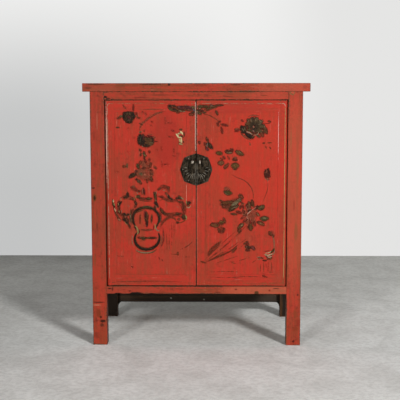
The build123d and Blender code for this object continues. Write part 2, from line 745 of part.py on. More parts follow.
# The lug is a round-ended tab with the hole for a lock bar, on a tang bent down at the back.
lug_plane = Plane(origin=(lug_x, plate_y[0], lug_z), x_dir=(0, -1, 0), z_dir=(1, 0, 0))
with BuildPart() as left_lock_lug:
    with BuildSketch(lug_plane):
        with Locations((lug_hole_reach / 2, 0)):
            Rectangle(lug_hole_reach, 2 * lug_radius)
        with Locations((lug_hole_reach, 0)):
            Circle(lug_radius)
            Circle(lug_hole_radius, mode=Mode.SUBTRACT)
        with Locations((-lug_radius / 2, 0)):
            Rectangle(lug_radius, 2 * lug_radius, mode=Mode.SUBTRACT)
    extrude(amount=lug_thickness / 2, both=True)
    rim_edges = ShapeList()
    for cheek in faces().filter_by(Axis.X):
        rim_edges += cheek.outer_wire().edges()
    fillet(rim_edges.filter_by(lambda edge: edge.center().Y < plate_y[0]), radius=lug_edge_radius)
    block(*tang)
    clinch_z = (tang[2][0] - clinch_length, tang[2][1])
    block(tang[0], (door_y[1], door_y[1] + clinch_thickness), clinch_z)
save_pair(left_lock_lug, "left_lock_lug")

with BuildPart() as left_plate_nails:
    head_y = (plate_y[0] - nail_head_height, plate_y[0])
    for x, z in nail_spots:
        rod_along_y(x, head_y, z, nail_head_radius)
    fillet(edges().group_by(Axis.Y)[0], radius=nail_head_height * nail_head_fullness)
    for x, z in nail_spots:
        rod_along_y(x, nail_y, z, nail_radius)
save_pair(left_plate_nails, "left_plate_nails")
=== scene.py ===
# %% [markdown]
# # A red lacquer wedding cabinet
# The cabinet is a frame of square legs and rails with thin boards held in grooves between them,
# and two doors that turn on wooden pins. Its front is red lacquer that has worn through at the
# edges, with flowers, a gourd-shaped vase and a crane painted on the doors in dark and gold paint.
#
# The solids come ready made, in their right places, so this lesson is about surfaces: how old
# lacquer, bare wood and dark brass are described with shader nodes, and how brush strokes can be
# worked out with numpy as real, slightly raised shapes. Every length is in metres.

# %% Load the solids
import math
import bmesh
import bpy
import numpy as np
from mathutils import Matrix, Vector


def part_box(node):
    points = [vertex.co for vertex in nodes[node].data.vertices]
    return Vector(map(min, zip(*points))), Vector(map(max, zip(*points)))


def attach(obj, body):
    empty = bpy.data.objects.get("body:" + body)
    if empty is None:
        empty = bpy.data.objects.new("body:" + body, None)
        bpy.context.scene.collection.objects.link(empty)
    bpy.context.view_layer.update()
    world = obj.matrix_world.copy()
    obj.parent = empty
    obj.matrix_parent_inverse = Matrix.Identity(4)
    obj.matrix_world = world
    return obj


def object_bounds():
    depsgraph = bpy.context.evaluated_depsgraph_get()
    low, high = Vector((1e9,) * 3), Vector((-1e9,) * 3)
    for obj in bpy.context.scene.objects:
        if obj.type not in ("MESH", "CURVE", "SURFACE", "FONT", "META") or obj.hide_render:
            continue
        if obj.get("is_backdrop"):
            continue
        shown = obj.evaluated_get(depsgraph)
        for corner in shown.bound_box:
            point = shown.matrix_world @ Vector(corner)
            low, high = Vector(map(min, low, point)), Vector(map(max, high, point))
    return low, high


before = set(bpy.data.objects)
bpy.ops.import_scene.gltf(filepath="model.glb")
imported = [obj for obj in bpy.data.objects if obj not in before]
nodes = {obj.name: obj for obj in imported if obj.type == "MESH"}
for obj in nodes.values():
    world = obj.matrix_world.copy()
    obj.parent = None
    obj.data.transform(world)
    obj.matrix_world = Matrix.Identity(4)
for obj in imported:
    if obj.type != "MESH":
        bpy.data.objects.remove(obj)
cad_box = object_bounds()
print("solids:", len(nodes), "box:", [tuple(round(v, 4) for v in corner) for corner in cad_box])

for name in ("Cube", "Light", "Camera"):
    if name in bpy.data.objects:
        bpy.data.objects.remove(bpy.data.objects[name])

# %% [markdown]
# ## The camera
# A camera is placed by where it stands and where it looks. This one stands as high as the
# cabinet's top and looks down a little, from more than four metres away, so upright lines stay
# nearly upright. A long lens goes with that distance. The turn is built from three simple turns:
# round the upright axis, then down, then a very small tilt of the horizon.

# %% Place the camera
eye = Vector((0.0874, -4.5985, 1.2372))
look_down, look_left, tilt = (math.radians(angle) for angle in (7.1673, 0.9323, -0.0605))
lens_in_pixels, picture_width, sensor_width = 930.06, 400, 36.0

camera_data = bpy.data.cameras.new("camera")
camera_data.sensor_width = sensor_width
camera_data.lens = lens_in_pixels / picture_width * sensor_width
camera = bpy.data.objects.new("camera", camera_data)
bpy.context.scene.collection.objects.link(camera)
turn = Matrix.Rotation(look_left, 4, "Z") @ Matrix.Rotation(math.pi / 2 - look_down, 4, "X")
camera.matrix_world = Matrix.Translation(eye) @ turn @ Matrix.Rotation(tilt, 4, "Z")
bpy.context.scene.camera = camera
print("lens", round(camera_data.lens, 1), "mm")

# %% [markdown]
# ## A pen for shader nodes
# A shader is a small machine of connected boxes. Written out in full, each box takes several
# lines, which hides the idea. The pen below adds one box a call and hands back its result as a
# wire, so a formula reads like a formula. Plain arithmetic on wires adds the box that does the
# sum: `a * b + 0.5`.
#
# A socket that is given a number keeps the number, and a socket that is given a wire is joined
# to it.

# %% Wires
class Wire:
    """The result of a node, on its way to where it is needed. A sum with a wire adds a node."""

    def __init__(self, pen, socket):
        self.pen, self.socket = pen, socket

    def __add__(self, other):
        return self.pen.math("ADD", self, other)

    def __sub__(self, other):
        return self.pen.math("SUBTRACT", self, other)

    def __mul__(self, other):
        return self.pen.math("MULTIPLY", self, other)

    def __truediv__(self, other):
        return self.pen.math("DIVIDE", self, other)

    def __radd__(self, other):
        return self.pen.math("ADD", other, self)

    def __rsub__(self, other):
        return self.pen.math("SUBTRACT", other, self)


print("a wire's sums:", *(name for name in vars(Wire) if name.endswith(("add__", "sub__", "mul__", "div__"))))

# %% The pen
class Pen:
    """Draws nodes into one shader tree. Most calls add a node and return its result as a wire."""

    def __init__(self, tree):
        self.tree = tree

    def feed(self, socket, value):
        """Join a wire to a socket, or set the socket's number or colour, which may be six hex digits."""
        if isinstance(value, Wire):
            self.tree.links.new(value.socket, socket)
        elif value is not None:
            socket.default_value = paint(value) if isinstance(value, str) else value

    def node(self, kind, **settings):
        """A new node of a kind."""
        made = self.tree.nodes.new("ShaderNode" + kind)
        for setting, value in settings.items():
            setattr(made, setting, value)
        return made

    def wires(self, made):
        """All results of a node, by name."""
        return {socket.name: Wire(self, socket) for socket in made.outputs}

    def add(self, kind, *values, out=0, **settings):
        """Add a node of a kind, fill its inputs in order and return one output."""
        made = self.node(kind, **settings)
        for socket, value in zip(made.inputs, values):
            self.feed(socket, value)
        return Wire(self, made.outputs[out])

    def math(self, operation, *values):
        """A sum on plain numbers."""
        return self.add("Math", *values, operation=operation)

    def vector(self, operation, *values):
        """A sum on vectors, one axis at a time."""
        return self.add("VectorMath", *values, operation=operation)

    def split(self, vector):
        """The x, y and z of a vector, as three wires."""
        parts = self.node("SeparateXYZ")
        self.feed(parts.inputs[0], vector)
        return list(self.wires(parts).values())

    def ease(self, value, low, high, start=0.0, end=1.0):
        """start where value is under low, end where it is over high, and a smooth step between."""
        return self.add("MapRange", value, low, high, start, end, interpolation_type="SMOOTHSTEP")

    def mix(self, part, first, second):
        """The first colour where part is 0 and the second where it is 1."""
        made = self.node("Mix", data_type="RGBA")
        for index, value in ((0, part), (6, first), (7, second)):
            self.feed(made.inputs[index], value)
        return Wire(self, made.outputs[2])

    def noise(self, vector, scale, detail=2.0, roughness=0.5, distortion=0.0):
        """Cloudy noise between 0 and 1, with scale blobs to the metre."""
        return self.add("TexNoise", vector, None, scale, detail, roughness, None, None, None, distortion)

    def place(self, group, **values):
        """Place a node group, with its named inputs filled, and return its outputs by name."""
        made = self.node("Group", node_tree=group)
        for label, value in values.items():
            self.feed(made.inputs[label], value)
        return self.wires(made)


print("the pen can add:", [name for name in vars(Pen) if name[0] != "_"])

# %% Groups and colours
ZEROS, ONES = (0.0, 0.0, 0.0), (1.0, 1.0, 1.0)
FINISH = ("Colour", "Roughness", "Height")


def start_group(name, outputs, **inputs):
    """A new node group: its pen, its result sockets and a wire for each input. An input is given as a
    number, a place or a colour code, and that decides its kind. Only the output Colour is a colour."""
    tree = bpy.data.node_groups.new(name, "ShaderNodeTree")
    pen = Pen(tree)
    for label, value in inputs.items():
        kind = {tuple: "Vector", str: "Color"}.get(type(value), "Float")
        pen.feed(tree.interface.new_socket(name=label, in_out="INPUT", socket_type="NodeSocket" + kind), value)
    for label in outputs:
        kind = "Color" if label == "Colour" else "Float"
        tree.interface.new_socket(name=label, in_out="OUTPUT", socket_type="NodeSocket" + kind)
    given = pen.wires(tree.nodes.new("NodeGroupInput"))
    return pen, tree.nodes.new("NodeGroupOutput").inputs, *(given[label] for label in inputs)


def paint(code):
    """A colour written as six hex digits, turned into the linear values that shaders use."""
    parts = [int(code[start:start + 2], 16) / 255 for start in (0, 2, 4)]
    linear = [part / 12.92 if part <= 0.04045 else ((part + 0.055) / 1.055) ** 2.4 for part in parts]
    return (*linear, 1.0)


print("red lacquer", [round(part, 3) for part in paint("AE3D2E")])

# %% [markdown]
# ## Worn edges
# Hands, knees and cleaning cloths rub an old cabinet at its corners first. Since every piece is
# nearly a box, a shader can find the corners without help from the mesh. At a point on a box,
# one of the three distances to the nearest faces is zero. The middle one of the three is then the
# distance to the nearest edge. The middle of three numbers is
# `max(min(a, b), min(max(a, b), c))`.
#
# Real wear is never a straight band, so the width of the band is multiplied by noise: a broad one
# that leaves some stretches untouched, and a fine one that nibbles at the border.

# %% The edge wear group
pen, result, place, low, high, width = start_group(
    "edge wear", ["Wear"], Vector=ZEROS, Low=ZEROS, High=ONES, Width=0.004)
from_low = pen.vector("SUBTRACT", place, low)
from_high = pen.vector("SUBTRACT", high, place)
a, b, c = pen.split(pen.vector("ABSOLUTE", pen.vector("MINIMUM", from_low, from_high)))
smaller, larger = pen.math("MINIMUM", a, b), pen.math("MAXIMUM", a, b)
to_edge = pen.math("MAXIMUM", smaller, pen.math("MINIMUM", larger, c))
broad = pen.ease(pen.noise(place, 11, 2), 0.3, 0.7, 0.15, 1.0)
fine = pen.ease(pen.noise(place, 120, 3, 0.65), 0.3, 0.72, 0.1, 1.6)
band = width * (broad * fine)
pen.feed(result["Wear"], pen.ease(to_edge / band, 0.55, 1.0, 1.0, 0.0))
edge_wear = pen.tree
print("group", edge_wear.name, len(edge_wear.nodes), "nodes")

# %% [markdown]
# ## Lacquer on wood
# The paint is a thick red coat over pine or elm. Seen closely it isn't one red: it is deeper and
# shinier where nobody touches it, faded and browner elsewhere, with fine lines where the grain of
# the wood shows through, and small chips down to the dark wood.
#
# The group gets two vectors. `Vector` is the plain place on the piece, and `Grain` is the same
# place squeezed along the wood's grain, which turns round noise into long streaks.

# %% The worn lacquer group
pen, result, place, grain, fresh, faded, deep, wood, rubbed, edge, chipping, years = start_group(
    "worn lacquer", FINISH, Vector=ZEROS, Grain=ZEROS, Fresh="B8402F", Faded="A04A33", Deep="8E2A22",
    Wood="3A2014", Rubbed="C98A6E", Edge=0.0, Chips=0.5, Age=0.5)
clouds = pen.noise(place, 4.5, 3, 0.55)
blotches = pen.noise(place, 24, 4, 0.62)
mottle = pen.noise(place, 75, 3, 0.65)
specks = pen.noise(place, 170, 3, 0.7)
streaks = pen.noise(grain, 80, 4, 0.65)
hairs = pen.noise(grain, 230, 3, 0.6)

fading = pen.ease(clouds * 0.35 + streaks * 0.4 + mottle * 0.25, 0.44, 0.57)
colour = pen.mix(fading, fresh, faded)
stain = blotches * 0.6 + mottle * 0.4
stained = pen.ease(stain, 0.5, 0.7) * (0.25 + years)
colour = pen.mix(stained, colour, deep)
grain_lines = pen.ease(pen.math("ABSOLUTE", hairs - 0.5), 0.0, 0.03, 1.0, 0.0)
grain_lines = grain_lines * pen.ease(streaks, 0.44, 0.58)
colour = pen.mix(grain_lines * (years * 0.7), colour, wood)
drawn_out = pen.vector("MULTIPLY", grain, (3.0, 3.0, 3.0))
olive_haze = pen.ease(pen.noise(drawn_out, 9, 4, 0.7, 0.6), 0.5, 0.66)
colour = pen.mix(olive_haze * years, colour, "6A4426")
pale_hairs = pen.ease(hairs, 0.6, 0.72) * pen.ease(blotches, 0.42, 0.58)
colour = pen.mix(pale_hairs * 0.3, colour, rubbed)

chip_limit = 0.79 - chipping * 0.1
chip_field = specks * 0.45 + blotches * 0.55
chips = pen.ease(chip_field - chip_limit, -0.004, 0.012)
bare = pen.math("MAXIMUM", chips, pen.ease(edge, 0.45, 0.62))
rubbed_rim = pen.ease(edge, 0.05, 0.4) * (1.0 - bare)
colour = pen.mix(rubbed_rim * 0.5, colour, rubbed)
colour = pen.mix(bare, colour, pen.mix(streaks, wood, "6B4630"))
pen.feed(result["Colour"], colour)
pen.feed(result["Roughness"], 0.34 + blotches * 0.22 + bare * 0.28)
skin = 0.6 + (streaks * 0.18 + blotches * 0.1) - grain_lines * 0.06
pen.feed(result["Height"], skin - bare * 0.6)
worn_lacquer = pen.tree
print("group", worn_lacquer.name, len(worn_lacquer.nodes), "nodes")

# %% [markdown]
# ## Bare wood
# Inside, the boards were never painted. Planed softwood has rings that show as long wavy bands,
# with darker pores, and a hundred years of dust in the low places. The bands come from noise
# that is squeezed along the grain and then bent, and a fine second noise gives the pores.

# %% The bare wood group
pen, result, place, grain, light, dark = start_group(
    "bare wood", FINISH, Vector=ZEROS, Grain=ZEROS, Light="9A7350", Dark="5C3D27")
rings = pen.noise(grain, 34, 3, 0.5, 1.2)
bands = pen.ease(pen.math("PINGPONG", rings * 6.0, 1.0), 0.1, 0.9)
fibres = pen.noise(grain, 150, 4, 0.6)
bands = pen.ease(bands * 0.4 + fibres * 0.6, 0.2, 0.72)
pores = pen.noise(grain, 330, 3, 0.6)
dust = pen.ease(pen.noise(place, 6, 4, 0.65), 0.42, 0.68)
colour = pen.mix(bands, dark, light)
colour = pen.mix(pen.ease(pores, 0.58, 0.72, 0.0, 0.6), colour, dark)
colour = pen.mix(dust * 0.35, colour, "75604A")
pen.feed(result["Colour"], colour)
pen.feed(result["Roughness"], 0.62 + dust * 0.2)
pen.feed(result["Height"], bands - pen.ease(pores, 0.55, 0.7) * 0.7)
bare_wood = pen.tree
print("group", bare_wood.name, len(bare_wood.nodes), "nodes")

# %% [markdown]
# ## Knots, nicks, scratches and painted light
# Some marks belong to one spot: a knot that shows through the paint, a nick in a rail, a long
# pale scratch. Broad marks of the same kind paint light and shade: darker patches where less light
# falls, lighter ones where more falls. Each is a soft-edged ellipse with its own centre and size,
# roughened by noise.
# The depth of the ellipse is large, so that only the place on the front counts.

# %% The mark group
pen, result, place, centre, size, ragged = start_group(
    "mark", ["Mask"], Vector=ZEROS, Centre=ZEROS, Size=ONES, Ragged=0.5)
offset = pen.vector("DIVIDE", pen.vector("SUBTRACT", place, centre), size)
reach = pen.add("VectorMath", offset, operation="LENGTH", out="Value")
nibble = (pen.noise(place, 260, 3, 0.7) - 0.5) * ragged
pen.feed(result["Mask"], pen.ease(reach + nibble * 2.4, 0.6, 1.05, 1.0, 0.0))
mark_group = pen.tree
print("group", mark_group.name, len(mark_group.nodes), "nodes")

# %% [markdown]
# ## A finish for each piece
# A material is started in the same way each time: it reads Object coordinates, which are the real
# places in metres, because every object sits at the origin. The wood's grain runs along a leg and
# along a rail, so each finish is told an axis.
#
# The case is red on the front, a deeper red on its outer sides and top, and dark lacquer where
# nobody looks. The normal says which way a point faces, and that picks the paint. The five
# colours of each paint are mixed first, so one lacquer group serves all three.

# %% Grain and paints, and how a material starts
GRAIN = {"X": (0.055, 1.0, 1.0), "Y": (1.0, 0.055, 1.0), "Z": (1.0, 1.0, 0.055)}
WEAR_WIDTH, DOOR_WEAR = 0.006, 0.004
DULL = 0.12
GAP_DEPTH, DOOR_BACK = -0.262, -0.2797
OUTER_X, TOP_Z = 0.46, 1.22
LACQUER_RELIEF, WOOD_RELIEF, BRASS_RELIEF, PAINT_RELIEF = 0.0005, 0.0004, 0.0002, 0.0003
PAINTS = {
    "Fresh": ("AA3827", "7E241A", "231A15"),
    "Faded": ("933D27", "6A2C20", "2C221A"),
    "Deep": ("70241A", "4E1712", "130E0B"),
    "Wood": ("2E180D", "2A150D", "2A1C13"),
    "Rubbed": ("C0806A", "90543E", "463A30"),
}  # the front's, the outer sides' and the dark paint


def start_material(name):
    """A new material, its pen, its Principled BSDF and a wire with the place in metres."""
    material = bpy.data.materials.new(name)
    material.use_nodes = True
    pen = Pen(material.node_tree)
    return material, pen, material.node_tree.nodes["Principled BSDF"], pen.add("TexCoord", out="Object")


def cover_surface(pen, surface, colour, roughness, height, depth):
    """Feed a finish into a Principled BSDF. A height of 0 to 1 becomes a relief of depth metres."""
    pen.feed(surface.inputs["Base Color"], colour)
    pen.feed(surface.inputs["Roughness"], roughness)
    surface.inputs["Specular IOR Level"].default_value = DULL
    bump = pen.node("Bump")
    pen.feed(bump.inputs["Distance"], depth)
    pen.feed(bump.inputs["Height"], height)
    pen.feed(surface.inputs["Normal"], pen.wires(bump)["Normal"])


def box_of(*names):
    """The corners of the box round some solids."""
    boxes = np.array([[tuple(corner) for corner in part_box(name)] for name in names])
    return tuple(boxes[:, 0].min(axis=0)), tuple(boxes[:, 1].max(axis=0))


print("the wood is squeezed along", *GRAIN)

# %% Marks, dressing, and the lacquer of the case
def marks_of(table):
    """A table of marks as tuples: x, z, width and height, which the table gives in millimetres, and
    then a colour and a strength from 0 to 1."""
    rows = [row.split() for row in table.split(";")]
    return [(*(float(cell) / 1000 for cell in row[:4]), row[4], float(row[5])) for row in rows]


def add_marks(pen, place, colour, marks_and_painted_light, face_y, depth, ragged=0.5):
    """A colour with some marks on it, and patches of painted light and shade, on the face at face_y."""
    for x, z, wide, high, tone, strength in marks_and_painted_light:
        spot = pen.place(mark_group, Vector=place, Centre=(x, face_y, z), Size=(wide, depth, high), Ragged=ragged)
        colour = pen.mix(spot["Mask"] * strength, colour, tone)
    return colour


def dress(names, material):
    """Give a material to every slot of the named solids."""
    for name in names:
        for slot in nodes[name].material_slots:
            slot.material = material


def case_finish(name, box, grain, front, marks_and_painted_light=()):
    """Lacquer for a piece of the case: front is 1 where the piece is red in front and 0 where it is dark. Its marks
    include patches of painted light and shade.
    """
    material, pen, surface, place = start_material(name)
    across, forward, up = pen.split(pen.add("TexCoord", out="Normal"))
    x, y, z = pen.split(place)
    in_front = pen.ease(forward, -0.6, -0.4, 1.0, 0.0) * front
    outward = across * pen.math("SIGN", x)
    outer_side = pen.ease(outward, 0.4, 0.6) * pen.ease(pen.math("ABSOLUTE", x), OUTER_X, OUTER_X + 0.01)
    on_top = pen.ease(up, 0.4, 0.6) * pen.ease(z, TOP_Z, TOP_Z + 0.01)
    in_gap = pen.math("LESS_THAN", y, GAP_DEPTH)
    aside = pen.math("MAXIMUM", pen.math("MAXIMUM", outer_side, on_top), in_gap)
    colours = {
        label: pen.mix(in_front, pen.mix(aside, dark, side), bright)
        for label, (bright, side, dark) in PAINTS.items()
    }
    worn = pen.place(edge_wear, Vector=place, Low=box[0], High=box[1], Width=WEAR_WIDTH)
    grained = pen.vector("MULTIPLY", place, GRAIN[grain])
    coat = pen.place(worn_lacquer, Vector=place, Grain=grained, Edge=worn["Wear"], Chips=0.75, Age=0.6, **colours)
    colour = add_marks(pen, place, coat["Colour"], marks_and_painted_light, box[0][1], 0.01)
    cover_surface(pen, surface, colour, coat["Roughness"], coat["Height"], LACQUER_RELIEF)
    return material


print("the front, the outer sides and the dark parts are", *PAINTS["Fresh"])

# %% The marks of the legs, rails, top and apron, and their painted light and shade
# Its first row paints shade: a broad darker patch over the left leg.
left_leg_marks_and_shade = marks_of("""
-467.7 789 70 520 8A3626 .3; -476 704.4 11 20 6A3A1A .9; -476 704.4 6 12 34180C .95; -481.4 751.5 10 3.5 2A1A12 .95;
-459 1063.4 2.5 50 C88068 .3; -462.2 206.5 32 3 2E160E .95; -471.9 192.9 20 2.5 D08A6A .6;
-465.4 154.1 12 26 6E3018 .7; -444.5 115.3 16 8 241209 .9; -449.6 95.7 10 10 3A1C10 .7; -453.8 134.7 6 6 241209 .8;
-474.1 46.8 16 20 7A2E1C .5; -478.2 409.9 7 35 7C4024 .6; -442.4 929.1 6 50 8A4A2C .5; -473.9 994.1 5 30 7A2A1C .6;
-466.3 572 4 20 5E2416 .6
""")
# Its first row paints light: a broad lighter patch over the right leg.
right_leg_marks_and_light = marks_of("""
457.2 742.8 60 520 BC5038 .45; 443.3 1192.3 14 11 6E5A36 .9; 443.3 1192.3 9 6.5 B04A32 .95;
440.6 1187.7 4 2 2E1A10 .8; 466.6 545 10 50 7C4A2A .6; 466.5 152.1 10 30 7A3A20 .7; 459.5 18.3 7 7 4A120E .95;
481.2 108.5 10 22 862A1C .7; 467.3 79.2 16 14 7A3018 .5; 477.2 243.9 5 6 3A1A12 .8; 438.4 975.5 4 60 8E5A38 .5;
472.4 836.3 5 80 8A5434 .5; 455.7 672.4 5 30 7A2A1C .5
""")
# Its first row paints light: a broad lighter patch on the right of the top rail.
top_rail_marks_and_light = marks_of("""
330.5 1177.8 110 30 B44834 .4; -421.3 1173.8 12 7 20140E .95; -406.6 1167.4 12 3 2E1A10 .9;
-258.8 1171.4 40 4 7A2418 .7; -166.5 1182.8 60 2.5 5E2416 .7; 146.7 1175.6 30 3 6A2216 .6; 312.1 1180.1 20 3 6A3018 .7
""")
# Its first two rows paint shade on the left of the bottom rail and light on its right.
bottom_rail_marks_light_and_shade = marks_of("""
-314.4 263.5 150 30 8E3E2C .4; 290.7 265.1 200 40 BC6044 .5; -411.5 272.9 10 4 2A140C .95;
-397.3 270.6 6 10 3A1C10 .8; -314.5 261.1 6 4 3A160E .9; -342.8 268.3 10 3 7A2A1C .7; 283.7 254 13 10 4A3018 .95;
345 265.7 6 6 7E2214 .95; -286.1 250.6 36 6.5 1A120D 1; -371.5 249.4 18 4.5 221610 .95; -210.3 248.8 20 4 2A1A12 .9;
186.9 270.1 7 5 6A2216 .9; 234.1 267.4 1.5 16 6A2E1A .7; -172.4 251.8 20 2.5 5A2416 .7; -87.1 272.3 20 3 6A2A1A .6;
40.5 266.9 10 4 9A5A38 .5; 101.9 255 16 3 5A2416 .7; 375.5 275 16 3 3A1C10 .8
""")
# Its first row paints light: a broad lighter patch on the right end of the top board.
top_board_marks_and_light = marks_of("""
408.2 1218.8 150 50 BA5842 .45; -442.8 1219.6 100 50 A44A36 .4; -461.1 1231.1 50 4 4E2A18 .8;
-350.5 1224.1 30 12 6A3A20 .5; -212.2 1231.7 60 3 3A1E12 .8; -124.7 1230.3 8 7 2E1A10 .9; 17.9 1228.3 40 6 74301E .6;
183.3 1229.9 30 4 4A2416 .7; 339.3 1223.4 20 10 8A3A22 .5; 499.8 1218.7 12 10 8E3A2C .6; -498.3 1215.1 20 5 4A2A1A .6
""")
# Its first row paints light: a broad lighter patch over the dark apron, which sits in shade. The next two rows are
# small near-white spots.
apron_marks_and_light = marks_of("""
0 94 700 30 54483C .5; -148 92.5 5.5 4.5 C8C4BC .95; 29 85 5 4 B4AEA4 .9; -310 102 12 3 6A5A48 .6;
150 90 30 12 3A3026 .6
""")
print("marks:", sum(map(len, (left_leg_marks_and_shade, right_leg_marks_and_light, top_rail_marks_and_light, bottom_rail_marks_light_and_shade, top_board_marks_and_light, apron_marks_and_light))))

# %% The case: legs, rails, top and sides
cases = [("front_left_leg", "Z", 1.0, left_leg_marks_and_shade), ("front_right_leg", "Z", 1.0, right_leg_marks_and_light),
         ("front_top_rail", "X", 1.0, top_rail_marks_and_light), ("front_bottom_rail", "X", 1.0, bottom_rail_marks_light_and_shade),
         ("back_apron", "X", 0.0, apron_marks_and_light), ("rear_bottom_rail", "X", 0.0, ()), ("rear_top_rail", "X", 0.0, ())]
for side in ("left", "right"):
    cases += [(f"{side}_side_panel", "Z", 0.0, ()), (f"{side}_top_rail", "Y", 0.0, ()),
              (f"{side}_bottom_rail", "Y", 0.0, ()), (f"rear_{side}_leg", "Z", 0.0, ())]
for name, grain, front, marks_and_painted_light in cases:
    label = ("red " if front else "dark ") + name.replace("front_", "").replace("_", " ")
    dress([name], case_finish(label, box_of(name), grain, front, marks_and_painted_light))
top_box = box_of("top_frame_front", "top_frame_back")
along_x = case_finish("red top along X", top_box, "X", 1.0, top_board_marks_and_light)
dress(["top_frame_front", "top_frame_back", "top_panel"], along_x)
dress(["top_frame_left", "top_frame_right"], case_finish("red top along Y", top_box, "Y", 1.0))
print("case finishes", len(bpy.data.materials))

# %% [markdown]
# ## The boards inside
# Boards that run the same way share one finish. The pattern still differs from board to board,
# because it depends on the place.

# %% Bare boards and battens
def wood_finish(name, grain, light="8F6A49", dark="573925"):
    """Bare old wood with its grain along an axis."""
    material, pen, surface, place = start_material(name)
    grained = pen.vector("MULTIPLY", place, GRAIN[grain])
    wood = pen.place(bare_wood, Vector=place, Grain=grained, Light=light, Dark=dark)
    cover_surface(pen, surface, wood["Colour"], wood["Roughness"], wood["Height"], WOOD_RELIEF)
    return material


dress([name for name in nodes if "board" in name or name.endswith("door_stop")], wood_finish("bare boards", "X"))
dress([name for name in nodes if "floor_batten" in name or "bearer" in name], wood_finish("bare battens", "Y"))
dress(["top_batten_left", "top_batten_right"], wood_finish("top battens", "Y"))
dress(["back_stile", "left_back_panel", "right_back_panel"], wood_finish("back boards", "Z", "7A604C", "443226"))
dress([name for name in nodes if "door" in name and "batten" in name], wood_finish("door battens", "X"))
print("bare wood finishes done")

# %% [markdown]
# ## The doors
# Each door is one painted field: the paint went on after the frame and panel were together, so
# its corners wear as one board, and the joints only show as fine lines. The red stops part of the
# way round the edge, because the back was never painted.

# %% The door's lacquer
DOOR_COLOURS = {"Fresh": "B23224", "Faded": "9C3926", "Deep": "802119", "Wood": "3C1810", "Rubbed": "CC8E76"}
# Broad patches of painted light and shade: darker in the middle of the left door, a brighter red over the middle of
# the right door, and a darker band along its top.
DOOR_LIGHT_AND_SHADE = {
    "left": marks_of("-140 975 75 150 962A1F .55; -228 401 200 60 A8392A .3"),
    "right": marks_of("270 870 260 330 C23222 .35; 184 1123 160 35 A03226 .45"),
}
DOOR_LINES = {
    "left": marks_of("""-416.8 960 3 210 E6C0AC 1; -5 1040 1.2 110 D98A70 .8;
                        -45.7 730 1.1 55 DDA088 .7; -44.6 1040 1 100 8A2A20 .5"""),
    "right": marks_of("380.3 1000 1.4 110 E6A9A0 .9; 44.5 640 1 200 8A2A20 .5; 3 600 1.2 300 D98A70 .5"),
}


def door_box(side):
    """The corners of a door without its pins: across both stiles, and as deep and as high as the
    meeting stile, because the pins stand out from the hinge stile."""
    across = box_of(f"{side}_hinge_stile", f"{side}_meeting_stile")
    low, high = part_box(f"{side}_meeting_stile")
    return (across[0][0], *low.yz), (across[1][0], *high.yz)


def door_finish(name, side, grain):
    """Red lacquer in front with patches of painted light and shade, and bare darkened wood from part of the way round
    the edge to the back.
    """
    material, pen, surface, place = start_material(name)
    low, high = door_box(side)
    worn = pen.place(edge_wear, Vector=place, Low=low, High=high, Width=DOOR_WEAR)
    grained = pen.vector("MULTIPLY", place, GRAIN[grain])
    coat = pen.place(worn_lacquer, Vector=place, Grain=grained, Edge=worn["Wear"], Chips=0.35, Age=0.25,
                     **DOOR_COLOURS)
    colour = add_marks(pen, place, coat["Colour"], DOOR_LIGHT_AND_SHADE[side], low[1], 0.1, ragged=0.3)
    colour = add_marks(pen, place, colour, DOOR_LINES[side], low[1], 0.02, ragged=0.9)
    wood = pen.place(bare_wood, Vector=place, Grain=grained, Light="7A573B", Dark="48301F")
    depth = pen.split(place)[1] - pen.noise(place, 40, 3) * 0.0012
    behind = pen.ease(depth, DOOR_BACK - 0.0004, DOOR_BACK + 0.0002)
    colour = pen.mix(behind, colour, wood["Colour"])
    cover_surface(pen, surface, colour, coat["Roughness"] + behind * 0.3, coat["Height"], LACQUER_RELIEF)
    return material


for side in ("left", "right"):
    upright = door_finish(f"{side} door lacquer upright", side, "Z")
    level = door_finish(f"{side} door lacquer level", side, "X")
    dress([f"{side}_hinge_stile", f"{side}_meeting_stile", f"{side}_door_panel"], upright)
    dress([f"{side}_door_top_rail", f"{side}_door_bottom_rail"], level)
print("door boxes", {side: door_box(side) for side in ("left", "right")})

# %% [markdown]
# ## Dark brass
# The lock plate is cast brass that has gone nearly black. Fingers keep the lugs, the rim and the
# edges by the seam brighter. `Polish` says how bright, and the noise keeps some tarnish in it.

# %% The dark brass group
pen, result, place, polish = start_group("dark brass", FINISH, Vector=ZEROS, Polish=0.0)
tarnish = pen.noise(place, 70, 4, 0.65)
scratches = pen.noise(pen.vector("MULTIPLY", place, (1.0, 1.0, 0.12)), 420, 2, 0.6)
colour = pen.mix(pen.ease(tarnish, 0.38, 0.7), "14110C", "42382C")
colour = pen.mix(pen.ease(scratches, 0.52, 0.72, 0.0, 0.45), colour, "6C6152")
bright = polish * pen.ease(tarnish, 0.25, 0.6, 0.45, 1.0)
pen.feed(result["Colour"], pen.mix(bright, colour, "D8CEBC"))
pen.feed(result["Roughness"], 0.56 - bright * 0.3)
pen.feed(result["Height"], tarnish + scratches * 0.3)
dark_brass = pen.tree
print("group", dark_brass.name, len(dark_brass.nodes), "nodes")

# %% Plate, lugs and nails
PLATE_MIDDLE_Z = 0.8385
PLATE_RIM, RIM_HEIGHT = 0.0705, 0.0008
UNDER_LUGS = 0.874
LUG_POLISH, NAIL_POLISH, RIB_POLISH = 1.0, 0.25, 0.22


def brass_finish(name, polish_by_place):
    """Dark brass whose polish is worked out from the place by a function."""
    material, pen, surface, place = start_material(name)
    brass = pen.place(dark_brass, Vector=place, Polish=polish_by_place(pen, place))
    surface.inputs["Metallic"].default_value = 0.85
    cover_surface(pen, surface, brass["Colour"], brass["Roughness"], brass["Height"], BRASS_RELIEF)
    return material


